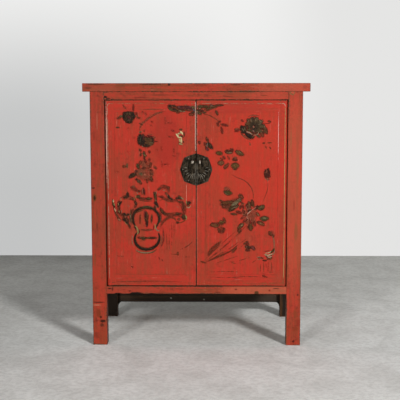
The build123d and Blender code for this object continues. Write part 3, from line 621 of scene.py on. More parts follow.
def plate_polish(pen, place):
    """A little brighter along the rim, and streaked by the seam below the lugs."""
    x, y, z = pen.split(place)
    up = z - PLATE_MIDDLE_Z
    radius = pen.math("SQRT", x * x + up * up)
    rim = pen.ease(radius, PLATE_RIM - 0.001, PLATE_RIM + 0.001, 0.0, 0.03)
    seam = pen.ease(pen.math("ABSOLUTE", x), 0.0025, 0.0075, 0.22, 0.0) * pen.ease(z, UNDER_LUGS, UNDER_LUGS - 0.014)
    seam = seam * pen.ease(pen.noise(place, 260, 3, 0.6), 0.38, 0.62, 0.1, 1.0)
    return pen.math("MAXIMUM", rim, seam)


for part, label, polish in (("lock_plate", "dark brass plate", plate_polish),
                            ("lock_lug", "rubbed brass lugs", lambda pen, place: LUG_POLISH),
                            ("plate_nails", "brass nails", lambda pen, place: NAIL_POLISH)):
    dress([f"left_{part}", f"right_{part}"], brass_finish(label, polish))
    print("dressed:", label)

# %% [markdown]
# ## Brush strokes as shapes
# The decoration is dark and gold paint, thick enough to feel. Each petal, stem and scroll is one
# stroke of a loaded brush: narrow where the brush lands, wide in the middle and narrow where it
# lifts. As a shape that is a lens-shaped profile carried along a path. Half of the lens is sunk
# into the door, so the visible half rises from the lacquer with no gap.
#
# Each point of a stroke also keeps where it lies along and across the stroke, whether the paint
# is soft and fades out sideways, its colour, and how much of the paint is left. The material
# reads these.

# %% A path and a palette
FACE_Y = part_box("left_door_panel")[0].y
SIDES = 10
HALO_WIDER, HALO_LONGER = 6.0, 4.0
PALETTE = {
    "ink": "130C08", "dark": "28170C", "olive": "42361A", "moss": "5C5034", "brown": "52321A", "dusk": "36200F",
    "rust": "6A2C18", "wine": "6E160E", "plum": "4A181A", "bark": "5A2A1A", "brick": "6E2C1C", "clay": "84442F",
    "rose": "A8624C", "stone": "857258", "gold": "94804E", "pale": "C9B688", "halo": "5C2818",
}


def through(points, count):
    """A smooth path through some points: between two of them it is a cubic whose slope at each is
    half the step from the point before to the point after."""
    points = np.asarray(points, float)
    points = np.vstack([2 * points[0] - points[1], points, 2 * points[-1] - points[-2]])
    along = np.linspace(0, len(points) - 3, count)
    first = np.minimum(along.astype(int), len(points) - 4)
    part = (along - first)[:, None]
    a, b, c, d = (points[first + step] for step in range(4))
    return 0.5 * (2 * b + (c - a) * part + (2 * a - 5 * b + 4 * c - d) * part**2 + (3 * b - a - 3 * c + d) * part**3)


print("colours on the palette:", *PALETTE)

# %% One stroke
def stroke_shape(points, width, full, steps, lift):
    """The places of a stroke in millimetres, its faces, and how far each place lies along and across it.
    At a part t of the way the half width is width / 2 * sin(pi t) ** full, and at an angle round the
    profile the place lies cos(angle) of that to the side and sin(angle) of the lift in front."""
    path = through(points, steps + 1)
    t = np.linspace(0, 1, steps + 1)
    slope = np.gradient(path, axis=0)
    slope /= np.maximum(np.linalg.norm(slope, axis=1, keepdims=True), 1e-9)
    sideways = np.stack([-slope[:, 1], slope[:, 0]], axis=1)
    swell = np.sin(np.pi * t[1:-1]) ** full
    angle = np.linspace(0, 2 * np.pi, SIDES, endpoint=False)
    across, rise = np.cos(angle), np.sin(angle)
    reach = (width / 2 * swell)[:, None, None] * across[None, :, None]
    flat = path[1:-1, None, :] + reach * sideways[1:-1, None, :]
    depth = -lift * np.sqrt(swell)[:, None] * rise[None, :]
    ring = np.stack([flat[..., 0], depth, flat[..., 1]], axis=-1).reshape(-1, 3)
    ends = np.array([[path[0, 0], 0, path[0, 1]], [path[-1, 0], 0, path[-1, 1]]])

    rows = steps - 1
    row, column = np.meshgrid(np.arange(rows - 1), np.arange(SIDES), indexing="ij")
    corner, after = row * SIDES + column, row * SIDES + (column + 1) % SIDES
    quads = np.stack([corner, after, after + SIDES, corner + SIDES], axis=-1).reshape(-1, 4)
    column = np.arange(SIDES)
    following, last, poles = (column + 1) % SIDES, (rows - 1) * SIDES, rows * SIDES
    start_fan = np.stack([following, column, np.full(SIDES, poles)], axis=1)
    end_fan = np.stack([last + column, last + following, np.full(SIDES, poles + 1)], axis=1)
    along_all = np.concatenate([np.repeat(t[1:-1], SIDES), [0, 1]])
    across_all = np.concatenate([np.tile(across, rows), [0, 0]])
    return np.vstack([ring, ends]), (quads, start_fan, end_fan), along_all, across_all


print("a short stroke has", len(stroke_shape([(0, 0), (9, 0)], 3, 0.8, 12, 0.4)[0]), "points")

# %% A painting is a set of strokes
class Painting:
    """Gathers the strokes of one door, in millimetres on its face, and makes one mesh of them."""

    def __init__(self, side, base_y=FACE_Y):
        self.side, self.base_y, self.count = side, base_y, 0
        self.outwards = np.array([-1 if side == "left" else 1, 1])
        self.places, self.faces, self.brush, self.tone = [], [], [], []

    def stroke(self, points, width, tone="2A1A14", cover=0.85, soft=0.0, full=0.8, steps=12, lift=0.4):
        """Add one stroke, in a colour of the palette or a colour code."""
        place, faces, along, across = stroke_shape(points, width, full, int(steps), lift)
        place /= 1000
        place[:, 1] += self.base_y
        self.faces += [(block + self.count).tolist() for block in faces]
        self.brush.append(np.stack([along, across, np.full(len(place), soft)], axis=1))
        self.tone.append(np.tile([*paint(PALETTE.get(tone, tone))[:3], cover], (len(place), 1)))
        self.places.append(place)
        self.count += len(place)

    def leaf(self, base, tip, width, bend=0.0, halo=0.0, **look):
        """A leaf or petal from base to tip, bent sideways by a part of its length. A halo is a soft
        brown stroke under it, wider on both sides and longer at both ends."""
        base, tip = np.array(base, float), np.array(tip, float)
        run = tip - base
        middle = (base + tip) / 2 + bend * np.array([-run[1], run[0]])
        if halo:
            beyond = HALO_LONGER * run / np.linalg.norm(run)
            self.stroke([base - beyond, middle, tip + beyond], width + 2 * HALO_WIDER, tone="halo", cover=halo,
                        soft=1.0, full=0.5, steps=10, lift=0.15)
        self.stroke([base, middle, tip], width, **look)

    def flower(self, centre, radius, petals, inner=0.35, turn=0.0, width=1.0, **look):
        """Petals in a ring: petal k points at the angle turn + k / petals of a full turn."""
        share = 2 * np.pi * radius * 0.72 / petals
        for angle in turn + np.arange(petals) * 2 * np.pi / petals:
            way = np.array([np.cos(angle), np.sin(angle)])
            self.leaf(centre + way * radius * inner, centre + way * radius, share * width, bend=0.06, **look)

    def finish(self, kind, material):
        """Make the mesh, give it its attributes and let it ride on its door."""
        name = f"{self.side}_{kind}"
        mesh = bpy.data.meshes.new(name)
        mesh.from_pydata(np.vstack(self.places), [], [face for block in self.faces for face in block])
        brush = mesh.attributes.new("brush", "FLOAT_VECTOR", "POINT")
        brush.data.foreach_set("vector", np.vstack(self.brush).astype(np.float32).ravel())
        tone = mesh.attributes.new("tone", "FLOAT_COLOR", "POINT")
        tone.data.foreach_set("color", np.vstack(self.tone).astype(np.float32).ravel())
        shell = bmesh.new()
        shell.from_mesh(mesh)
        bmesh.ops.recalc_face_normals(shell, faces=shell.faces)
        shell.to_mesh(mesh)
        shell.free()
        mesh.shade_smooth()
        mesh.materials.append(material)
        piece = bpy.data.objects.new(name, mesh)
        bpy.context.scene.collection.objects.link(piece)
        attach(piece, f"{self.side}_door")
        print(name, "-", len(mesh.polygons), "faces")


print("a painting keeps its", *vars(Painting("left")))

# %% [markdown]
# ## Paint on lacquer, half rubbed away
# The stroke's own colour is streaky along the brush, and a firm stroke is darker along its edge.
# Alpha says how much paint is left. A firm stroke has lost whole flecks, where the noise rises
# above its cover. A soft one thins out towards its edges and ends. Where the paint is gone, the
# door or an earlier stroke shows through.

# %% The paint's material
def painted_finish(name):
    """The decoration's finish."""
    material, pen, surface, place = start_material(name)
    brush, tone = (pen.wires(pen.node("Attribute", attribute_name=label)) for label in ("brush", "tone"))
    along, across, soft = pen.split(brush["Vector"])
    from_middle = pen.math("ABSOLUTE", across)
    bristles = pen.noise(pen.add("CombineXYZ", along * 0.8, across, from_middle), 7, 3, 0.6)
    grit = pen.noise(place, 240, 4, 0.7)
    patches = pen.noise(place, 38, 3, 0.6)
    flecks = pen.noise(place, 190, 3, 0.65)
    colour = pen.mix(pen.ease(bristles, 0.35, 0.7, 0.0, 0.35), tone["Color"], "38220E")
    colour = pen.mix(pen.ease(flecks, 0.35, 0.46, 0.55, 0.0), colour, "180C06")
    colour = pen.mix(pen.ease(flecks, 0.55, 0.68, 0.0, 0.35), colour, "8A6440")
    outlined = pen.ease(from_middle, 0.5, 0.95, 0.0, 0.6) * (1.0 - soft)
    colour = pen.mix(outlined, colour, "1A0C07")
    left = grit * 0.5 + patches * 0.5
    firm = pen.ease(left - (0.25 + tone["Alpha"] * 0.42), -0.03, 0.03, 1.0, 0.0)
    firm = firm * pen.ease(from_middle, 0.8, 1.0, 1.0, 0.55)
    fades = pen.ease(from_middle, 0.35, 1.0, 1.0, 0.0) * pen.ease(along * (1.0 - along), 0.0, 0.12, 0.15, 1.0)
    fades = fades * pen.ease(patches, 0.32, 0.62, 0.5, 0.95)
    stays = pen.add("MapRange", soft, 0.0, 1.0, firm, fades * tone["Alpha"])
    pen.feed(surface.inputs["Alpha"], stays)
    cover_surface(pen, surface, colour, 0.46 + grit * 0.2, bristles + patches, PAINT_RELIEF)
    return material


door_paint = painted_finish("door painting")
print("material", door_paint.name, len(door_paint.node_tree.nodes), "nodes")

# %% [markdown]
# ## Flowers, vase and border
# The pictures on such doors are wishes in code: a gourd or vase for peace and blessing, peony for
# wealth, lotus for harmony, and a crane for long life. They are old stock patterns that every
# workshop drew its own way. Here each motif is a short table of strokes in millimetres on the
# door's face: across from the seam, and up from the floor. A row gives its first point in that way
# and then the step from each point to the next. There are three kinds. A dab is a leaf or petal
# from base to tip, with its width and perhaps a bend. A wash is thin paint brushed out softly along
# some points, and a line is one narrow firm stroke along them.

# %% Three kinds of stroke
LOOKS = {
    "dab": {"cover": 0.9, "lift": 0.4, "halo": 0.75},
    "wash": {"cover": 0.85, "soft": 1.0, "full": 0.5, "steps": 14},
    "line": {"cover": 0.85, "lift": 0.5, "full": 0.4, "steps": 14},
}


def brush_on(painting, table):
    """Paint a table of strokes. A block starts with a kind, perhaps some settings, and a colon. A row of it
    is a colour, a width, the distances of the first point from the seam and the floor, and the steps
    from each point to the next. A dab may end with its bend. The wider a wash, the flatter it lies."""
    for block in table.strip().split("\n\n"):
        heading, rows = block.split(":")
        kind, *settings = heading.split()
        look = {label: float(value) for label, value in (setting.split("=") for setting in settings)}
        look = {**LOOKS[kind], **look}
        for row in rows.split(";"):
            look["tone"], *cells = row.split()
            width, *cells = (float(cell) for cell in cells)
            bend = cells.pop() if len(cells) % 2 else 0.0
            points = np.cumsum(np.reshape(cells, (-1, 2)), axis=0) * painting.outwards
            if kind == "dab":
                painting.leaf(*points, width, bend, **look)
            else:
                flat = {"lift": max(0.04, 0.16 - 0.0015 * width)} if kind == "wash" else {}
                painting.stroke(points, width, **look, **flat)


print("kinds of stroke:", *LOOKS)

# %% Left door: the two dark blossoms and the branch between them
left = Painting("left")
brush_on(left, """
wash: dark 62 272 974 -79 -5; 3E2410 44 247 975 -56 -7; 86402C 16 265 1017 -10 28 -23 21 -23 17 -28 15 -46 13;
94462F 7 250 1117 -46 0 -65 0; moss 18 357 1084 -19 1; dark 46 344 1084 -66 0; moss 14 285 1086 -16 0;
8A3826 12 340 1139 -18 -23; moss 14 267 1010 -16 5; clay 14 200 994 -11 -14; brown 12 374 1034 -21 -1;
rust 10 267 1054 -23 -11
""")
left.flower((-313, 1080), 25, 9, inner=0.1, width=1.5, tone="dark", halo=0.6)
brush_on(left, """
dab: dark 17 340 1099 -56 0; dark 15 338 1073 -27 -20 .15; ink 13 331 1103 5 -30; ink 13 292 1103 -5 -30;
ink 11 325 1062 -30 -2 -.1

dab lift=.6 halo=0: plum 15 320 1086 -21 -12; 4E3A30 4 324 1067 -25 1

dab lift=.75 halo=0: ink 5 321 1072 -7 -2; ink 4 309 1071 -7 2; moss 4 320 1104 -2 -13; moss 4 306 1104 1 -12

dab cover=.8 halo=.6: wine 5.5 290 1140 0 -33; wine 6 278 1102 -5 -13; rust 6 274 1079 -14 -2; rust 8 367 1075 -19 5

dab halo=.6: ink 25 260 1005 -2 -57; ink 20 246 1005 1 -62; dark 12 266 996 1 -41; brown 24 247 981 -50 -6 -.05;
brown 21 242 962 -46 -1 -.05; dark 13 245 948 -31 0; dark 10 206 989 -7 -25

dab lift=.6 halo=0: 26281E 9 258 996 1 -34; plum 8 244 1001 1 -30; ink 9 238 955 -17 -2; 3E2814 10 237 980 -23 -3;
moss 5 221 965 -25 -4; moss 4 219 954 -18 -4; stone 3 253 949 -7 -4

line: 5A0A0E 7 230 999 -13 -5 -16 -2; clay 4 226 1005 -12 -4 -14 -1; wine 6 196 969 -18 -1; rust 4 242 1026 -4 -13

dab cover=.48 halo=.2: wine 8 210 1063 -12 -7; wine 6 211 1046 -6 -8; rust 7 251 1109 -6 -7; rust 7 241 1101 -11 -7;
wine 5 247 1019 -8 -4; rust 6 313 1031 6 -7
""")
print("blossoms:", left.count, "points")

# %% Left door: the hanging chain, the open flower and the small leaves
brush_on(left, """
wash: clay 84 288 822 -94 -2; clay 56 262 866 -54 0; moss 12 322 869 0 -26; rust 22 346 852 -21 0;
moss 12 252 915 -23 -14; clay 20 302 761 -18 -9; rust 26 225 794 -28 -10; moss 20 267 822 -19 -10;
moss 22 279 784 -24 -4
""")
for radius, count, width, tone in ((13, 9, 0.3, "rose"), (24, 15, 0.22, "rose"), (33, 19, 0.3, "rust")):
    left.flower((-240, 818), radius, count, inner=0.72, turn=0.11 * radius, width=width, tone=tone, cover=0.72)
brush_on(left, """
dab: olive 15 275 865 -7 -22; dark 8 274 859 -5 -12; rust 9 258 878 5 -17; 4E0E0A 5 251 844 -13 0;
wine 5 238 881 -3 -11; rust 9 209 869 8 -22; plum 8 284 826 -8 6; rust 6 216 823 -11 -6; wine 4 213 836 -7 -4;
brown 8 210 804 -1 -17; ink 8 283 790 -8 5; 4A3A2C 9 274 789 -11 -9; rust 8 264 778 -9 -7; rust 5 232 792 -4 -17;
rust 7 197 852 -12 -10; olive 7 243 922 -3 -12; 7C5E34 8 244 905 -11 -3; 4E1A0E 6 242 897 -3 -12;
wine 6 218 926 -1 -11; rust 7 264 932 -8 -8; wine 5 219 890 -2 -10; brown 6 257 915 2 -14
""")
left.flower((-240, 815), 4, 4, inner=0.1, width=1.3, tone="rose", cover=0.95, lift=0.6)
brush_on(left, """
dab halo=.6: dark 21 315 799 -37 18 .08; 3A2C0C 12 304 805 -21 10

dab cover=.5 halo=.15: wine 6 155 862 -28 0; wine 6 162 948 -2 -26; wine 6 103 941 0 -26; wine 6 110 904 -16 -5;
rust 5 92 913 -19 -2; wine 8 118 1025 -19 -12; wine 5 161 880 -1 -35; rust 6 144 1082 -2 -33; rust 7 133 1056 -24 -2;
rust 6 131 992 -24 -4; rust 6 187 934 -10 -8; rust 7 376 828 -16 -2; rust 6 293 987 -12 -1; wine 5 322 923 -10 -6
""")
print("chain and open flower:", left.count, "points")

# %% Left door: the garland and the pale butterfly
brush_on(left, """
wash cover=.88: brown 32 137 1134 -49 -12 -41 -2 -43 0; brown 18 130 1123 -32 -13 -51 -3; moss 22 26 1130 -22 -9;
rust 20 35 1098 -31 -3; rust 12 95 1102 -20 -2; olive 15 80 1024 -17 0; olive 22 84 962 -21 -5;
brown 12 56 1015 -1 -26

dab halo=.6: plum 19 90 1125 -45 -2; plum 19 58 1128 -42 -8; 5E2A1C 11 47 1117 -28 -5; dark 10 129 1136 -18 -6;
dark 8 112 1134 -19 -4; dark 10 113 1122 -29 -14; olive 9 131 1128 -24 -18; ink 9 21 1100 -15 6;
rust 8 33 1093 -18 -2; 54505A 9 16 1118 -11 -9

dab lift=.6 halo=0: 6E4444 6 85 1130 -13 -5; 6E4444 6 35 1131 -11 -6; stone 5 80 1111 -15 -3; stone 4 63 1108 -13 -1;
moss 4 128 1119 -14 -9; moss 4 56 1137 -14 -1; rust 5 63 1126 -9 -9

dab cover=.99 halo=0: D6C28E 10 95 1005 -13 -21 .1; D6C28E 10 75 1018 -14 -19 .05; CDB884 8 89 1001 -21 10;
CDB884 8 84 986 -18 2; D2BE8A 8 70 988 -3 -28; B89A68 10 80 983 -9 -21; A08A5C 8 82 959 -20 -4

dab lift=.65 halo=0: 33290E 7 77 998 -20 -11; 4A1A10 6 61 972 -4 -11; 5E4E2C 5 78 1013 -3 -10; clay 3 81 1001 -3 -4
""")
print("garland and butterfly:", left.count, "points")

# %% Left door: the gourd-shaped vase
brush_on(left, """
wash cover=.9: dusk 24 276 555 10 14 9 22 2 22 -7 22 -17 16 -21 7 -23 2 -24 -5 -19 -16 -11 -19 0 -22 8 -21 9 -16;
dusk 25 277 542 11 -19 1 -22 -9 -19 -18 -15 -23 -6 -24 3 -21 11 -16 20 -5 23 5 23; rust 26 301 629 5 -19 -3 -24;
moss 12 288 458 -23 -11 -28 -3 -31 4 -24 17; 8A3426 14 156 563 -1 -57 14 -38; 7A3624 16 264 555 -32 -2 -31 2;
brown 15 276 516 -44 -1 -47 2; brown 24 235 645 -2 -35 -2 -47; brown 15 211 584 -3 45; rust 13 263 629 2 -52

line cover=.93 steps=60 full=.1:
1C130A 8.5 276 555 10 14 9 22 2 22 -7 22 -17 16 -21 7 -23 2 -24 -5 -19 -16 -11 -19 0 -22 8 -21 9 -16

line cover=.97 steps=50 full=.12:
140E08 10.5 277 542 11 -19 1 -22 -9 -19 -18 -15 -23 -6 -24 3 -21 11 -16 20 -5 23 5 23

line cover=.9 lift=.6: 3A3010 7 273 650 -21 8 -23 2 -24 -5; 46392E 5 172 625 -4 -20 5 -20

line cover=.8: 5E3A24 4.5 305 654 3 -25 -2 -28 -7 -24; stone 5 286 460 -21 -12 -30 -3 -26 4;
stone 3.5 300 529 2 -28 -9 -29; moss 4 166 534 -2 -30 10 -27; moss 4 254 665 -28 1 -23 -7;
4C4434 3.5 308 629 2 -28 -6 -29; olive 5 278 635 -14 8 -14 2

line cover=.9 lift=.75: gold 8 291 575 -10 -8 -5 -12 -2 -14 5 -9; gold 6 196 584 -4 -15 3 -12;
stone 6 191 566 -6 -13 -13 -4; ink 4 201 577 -1 -14 3 -10; ink 4 270 560 -2 -14 3 -12; ink 3.5 296 570 -9 -10 -5 -14

wash cover=.62: plum 26 241 650 -4 -30 -5 -34; plum 20 234 615 -2 -52

line cover=.85: 2E0E10 6 238 634 -3 -27; ink 4.5 231 596 -1 -19; dark 3.5 223 629 3 -24; 7A4A2C 3 246 615 -2 -24;
wine 3 206 620 1 -29

dab cover=.85 halo=.6: olive 8 266 515 -30 1; wine 5 275 517 -13 -1; dark 8 221 516 -26 -1; rust 5 199 517 -13 -2;
olive 5 255 509 -14 -2
""")
print("vase:", left.count, "points")

# %% Left door: the scrolls round the vase
brush_on(left, """
wash cover=.75: bark 22 360 700 6 -29 -4 -28 -16 -25 -19 -22; bark 18 390 695 -4 -24 -6 -28 -16 -33 -20 -14;
brick 22 359 702 -26 10 -28 -6 -18 -14 -5 -25; bark 20 350 631 -20 -18 -17 -24; brick 20 294 657 5 -28 -2 -33;
bark 20 279 706 -39 -8 -40 2; brick 22 190 733 1 -33 -5 -33; brick 19 184 714 -28 -8 -28 -14 -33 1 -23 -17;
brick 25 67 695 -10 -28 0 -31 5 -26; bark 25 172 662 -18 -26 -21 -11 -31 -1 -21 1;
brick 20 169 568 -11 23 -21 17 -23 5 -21 -12; brick 20 92 606 -20 -3; brick 22 182 739 -30 19 -22 -11 2 -24;
brick 28 311 756 -23 -9 -20 -14; olive 19 45 691 -8 -22 -2 -7; olive 19 58 626 -9 -22; brick 15 167 667 -1 -85;
brick 15 255 747 -3 -28

wash cover=.55: bark 22 350 632 -18 -19 -19 -30; bark 15 358 695 3 -24 -4 -26; bark 14 190 728 -1 -28 -5 -36;
bark 17 72 681 -10 -17 -2 -25; bark 17 170 657 -14 -20 -17 -11; bark 14 331 711 -19 1; bark 14 129 712 -14 -14;
bark 15 85 709 -16 -14; bark 18 95 629 -30 -17; bark 14 289 690 -9 -21; bark 12 303 657 2 -38 -2 -33;
bark 16 272 709 -42 -8 -28 4

line cover=.88: rust 4.5 170 563 -11 19 -17 21 -17 10 -18 -4 -14 -13 -10 -9; 54300F 4 84 587 -15 3 -15 9 -9 18;
rust 4 147 633 -24 0 -28 3; rust 4 53 634 -2 28 7 19 13 14; wine 4 67 639 3 23 11 16; olive 4 306 657 2 -28 -5 -38;
rust 4 278 697 -38 -8 -38 2; olive 4 390 703 3 -17 -6 -19; brown 4 384 660 -1 -19 -11 -19 -5 -20 -16 -11;
rust 3.5 347 697 -23 3 -21 -5; rust 3.5 174 690 -18 8 -24 -9 -37 -5; rust 3.5 176 753 -18 13 -21 -7 -12 -17;
rust 3 165 739 -17 9 -12 -9

dab lift=.5: dark 11 321 731 -1 -24; dark 8 341 704 -22 7; ink 9 362 665 -14 23 .15; rust 6 307 699 -13 1;
dark 8 286 688 -6 -16; wine 6 281 674 7 -14; ink 7 342 633 -14 -12 -.1; ink 7 330 623 -15 6 -.1;
rust 7 366 643 -7 -13; ink 10 346 607 -18 -13; ink 8 333 597 -17 -19; rust 7 318 580 -8 -19; olive 15 279 710 -16 3;
4C0E12 7 247 752 -6 -33; dark 6 270 737 -7 -2; olive 11 195 733 -5 -35; ink 6 198 732 -7 -26; ink 13 196 685 -13 -13;
ink 8 186 678 -9 -18; dark 5 195 667 -4 -14; wine 8 166 710 -12 1; dark 9 132 722 -7 -20 -.1; dark 7 128 705 -16 -8;
dark 8 95 703 -11 0; olive 8 84 714 -14 -16 .1; rust 7 81 689 -19 -10; dark 10 38 687 -12 -7; olive 8 43 675 -11 6;
brown 8 96 632 -15 -1; 4A2414 6 83 628 -14 4; 3E2C12 13 63 627 -4 -25; dark 7 93 588 -11 1; brown 10 168 655 -14 -19;
dark 6 158 635 -10 -5; rust 5 138 756 -13 -2; rust 7 179 743 -12 7; brown 5 143 730 -6 -10; olive 8 234 701 -20 2;
olive 6 392 679 -9 -15

line cover=.88 lift=.75: pale 6.5 389 697 -2 -14; gold 5 386 681 -4 -13; B89070 7 384 657 -7 -17;
rose 6 367 607 -8 -9; stone 5 358 706 -8 -4; rose 3.5 328 618 9 -6; gold 4.5 47 693 0 -16;
B08868 5 47 663 -12 -4 -10 10; gold 5 53 626 -8 -13 5 -14; gold 3.5 283 717 -1 -14; stone 4 73 711 -10 -13;
stone 3 189 739 -5 -16; stone 3 191 697 -4 -8; rose 3 252 749 -1 -26; stone 3 348 650 4 -14; gold 3 336 589 -13 -12;
stone 3 189 668 -3 -12; rose 3 136 723 -1 -12; rose 3 116 719 -7 -10

line cover=.6: rust 3 116 591 -1 -66 2 -67; rust 3 105 591 -1 -66; rust 3 124 563 4 -67 -5 -47; rust 3 140 539 -2 -81;
rust 4 124 441 -19 -4 -18 2; rust 4.5 16 501 19 -19 23 -14 24 -12; rust 4 77 425 -56 1; rust 3.5 379 430 -38 -3;
rust 3 365 396 -19 -5

wash: olive 16 88 451 -1 -21; wine 9 310 381 -15 -8; wine 7 177 426 -3 -16; wine 8 165 415 -8 -12;
8A3A28 7 399 309 -85 -2 -104 2 -151 -2

dab cover=.95 lift=.85 halo=0: pale 5 388 697 -2 -11; gold 4 367 681 -5 -11; gold 4 358 699 -10 -5;
rose 5 381 654 -7 -9; gold 4 364 647 -5 -11; rose 4 363 606 -9 -10; stone 5 278 733 -6 -11; gold 4 66 706 -9 -10;
gold 4 52 619 -8 -12; stone 4 312 626 -6 -14; rose 4 322 671 -10 -8; rose 4 179 726 -9 -7; gold 3.5 294 704 -7 -8;
stone 4 157 742 -12 -3; rose 4 92 667 -9 -9

dab cover=.95 lift=.8 halo=0: ink 7 363 672 -12 13; ink 7 328 726 -8 -11; ink 6 325 632 -10 -9; ink 6 338 636 -8 -12;
ink 6 286 681 -8 -10; ink 9 196 683 -11 -12; ink 6 129 717 -7 -10; dark 6 118 705 -9 -8; ink 6 87 705 -9 -8;
dark 7 68 617 -10 -13; dark 6 91 631 -12 -6; ink 7 332 594 -11 -11; dark 6 316 579 -7 -12; wine 6 166 716 -10 -6
""")
print("left door painting:", left.count, "points")
left.finish("door_painting", door_paint)

# %% Right door: garland, twig, and the great peony
right = Painting("right")
brush_on(right, """
wash cover=.88: brown 26 5 1128 31 1 37 -3 32 6; rust 22 5 1102 29 5; brown 10 78 1136 50 -1; olive 18 5 1118 2 -27;
rust 12 90 1109 10 -21; olive 16 36 1116 28 -5; clay 8 235 1081 27 9 32 -4; 452A1A 64 221 1040 101 -2;
452A1A 60 269 1088 0 -97; brown 30 286 1005 46 17; rust 16 323 1035 7 -36; clay 14 205 1005 25 -18 28 -13;
rust 12 305 960 15 2; olive 8 328 962 23 1; clay 10 247 966 4 -18; rust 8 320 949 6 -14; rust 9 339 945 8 -13

dab: olive 13 6 1129 28 2; 3A3414 8 39 1131 13 -3; olive 8 50 1120 23 1; brown 5 82 1134 44 2; 44100C 8 17 1111 17 -1;
olive 13 6 1105 18 -11; brown 7 30 1102 15 1; brown 6 91 1111 9 -20; stone 4 10 1120 12 2; moss 5 59 1132 23 -4;
7A5A50 4 64 1137 14 -2; dark 5 9 1116 6 -9

line: rust 4.5 32 1094 23 -3 18 -8 19 -12 15 -12

dab cover=.85 halo=.6: wine 8 104 1059 10 3; wine 9 98 1057 5 -18; wine 9.5 114 1048 34 -7; wine 9 116 1037 5 -32;
wine 9 178 1015 24 8; clay 5 178 1024 17 4; wine 5 210 1068 6 -7; rust 6 332 1062 12 -3
""")
right.flower((270, 1040), 33, 13, inner=0.2, turn=0.25, width=1.9, tone="3E2E1A", halo=0.6)
right.flower((270, 1040), 26, 11, inner=0.2, turn=0.1, width=1.7, tone="2E2214", lift=0.45)
brush_on(right, """
dab lift=.5: brown 20 258 1057 -24 13; brown 20 251 1049 -23 2; 38281A 18 262 1061 -7 19; 52422A 18 276 1061 7 18;
4A3C26 20 288 1054 20 10; 4A3A22 22 290 1037 25 3; 4A3A22 16 286 1022 20 -11; brown 16 316 1039 12 -35 -.1;
rust 14 299 1014 11 -25; brown 10 280 998 17 -10
""")
right.flower((265, 1041), 19, 8, inner=0.1, turn=0.2, width=1.5, lift=0.65, tone="2A2012")
brush_on(right, """
dab lift=.7 halo=.75: dark 26 232 1037 -29 -13 .1; dark 20 233 1022 -26 -13; ink 8 205 1031 7 10;
3A2C18 12 212 1022 16 -11; ink 21 231 1004 37 -19 -.05; ink 15 226 1011 21 -22; brown 9 256 987 14 5;
olive 12 235 1023 18 -3

dab lift=.9 halo=0: 4A0C08 8 254 1035 1 -16; 3A0C08 8 267 1047 9 -9; 6E4A40 10 261 1023 7 -14;
5A1016 7 260 1012 10 -2; rose 9 262 1041 6 -12; 241C1E 6 263 1027 4 -7; 6A5438 6 222 1035 5 -18; clay 6 300 1023 9 -5

line cover=.8 lift=.95: A59078 5 231 1013 12 -2 18 -11; stone 5 269 998 14 3 7 14; rose 4 261 999 13 -2 7 3;
stone 3 288 1070 14 -14; stone 3 244 1067 -7 -10; stone 3 214 1029 6 -14; stone 3 312 1047 6 -18;
wine 3.5 312 1050 31 2; stone 2.5 272 1059 2 15; stone 2.5 256 1057 -5 15; stone 2.5 284 1047 17 4
""")
print("peony:", right.count, "points")

# %% Right door: the bird, the leaf sprays and the bud
brush_on(right, """
wash cover=.82: olive 15 48 963 -1 -29; clay 16 171 892 21 2; rust 22 101 869 28 -2; rust 14 108 894 19 -13;
clay 15 318 800 26 -11; rust 14 143 904 14 -21; clay 30 127 752 33 -10; rust 34 196 724 24 -24;
rust 44 113 672 54 11 56 22

dab: 521C0E 9 46 986 10 -18; dark 17 52 965 25 -32; 2A2610 11 56 954 11 -17; wine 8 38 963 8 -22;
5E1C2A 10 44 939 12 -12; wine 8 12 969 4 -11

line lift=.75: 75625A 4 52 962 -3 -21; rust 4 45 994 5 -12

dab lift=.45: 563A14 18 91 917 32 -6; 6A5228 7 99 916 14 -2; 481A08 12 133 923 22 1; 66482E 10 137 916 32 1;
4E120A 6 159 935 4 -15; 5A160C 5 168 934 4 -12; 58381A 22 181 925 40 -20; 4E4A1A 10 192 921 13 -9;
wine 6 125 899 9 -11; 6A3C22 25 100 867 29 3; 66461F 13 107 868 15 1; rust 16 129 842 19 22; 4A2410 7 133 847 8 10;
581E0C 12 168 885 23 -2; 5A3A18 30 161 857 39 -2; 4E2E12 12 171 843 18 -1; 86704A 9 174 866 6 -16

line cover=.75: wine 3.5 120 904 8 -9 6 -12; rust 3.5 168 903 5 -14; stone 3 109 874 6 -12; rust 3.5 145 871 12 -9;
stone 3 150 917 13 -1; stone 2.5 198 922 12 -9; rust 4 162 816 28 -15 28 -11 23 -17 18 -26 7 -28 -1 -23;
rust 3 334 780 -2 -33 -9 -28 -12 -35

dab lift=.5: 420C06 13 322 799 0 39; 3E0A05 16 336 801 -2 44; 4E1208 11 321 805 23 1; 864632 5 328 839 0 -20;
321008 8 329 817 0 -17

line cover=.6: rose 3 319 801 5 -13; rose 3 345 804 -6 -17; stone 3 332 797 0 -17

dab: olive 17 128 738 31 -18; 4A3A0A 13 142 737 25 -12; moss 7 132 730 18 -11
""")
print("leaf sprays and bud:", right.count, "points")

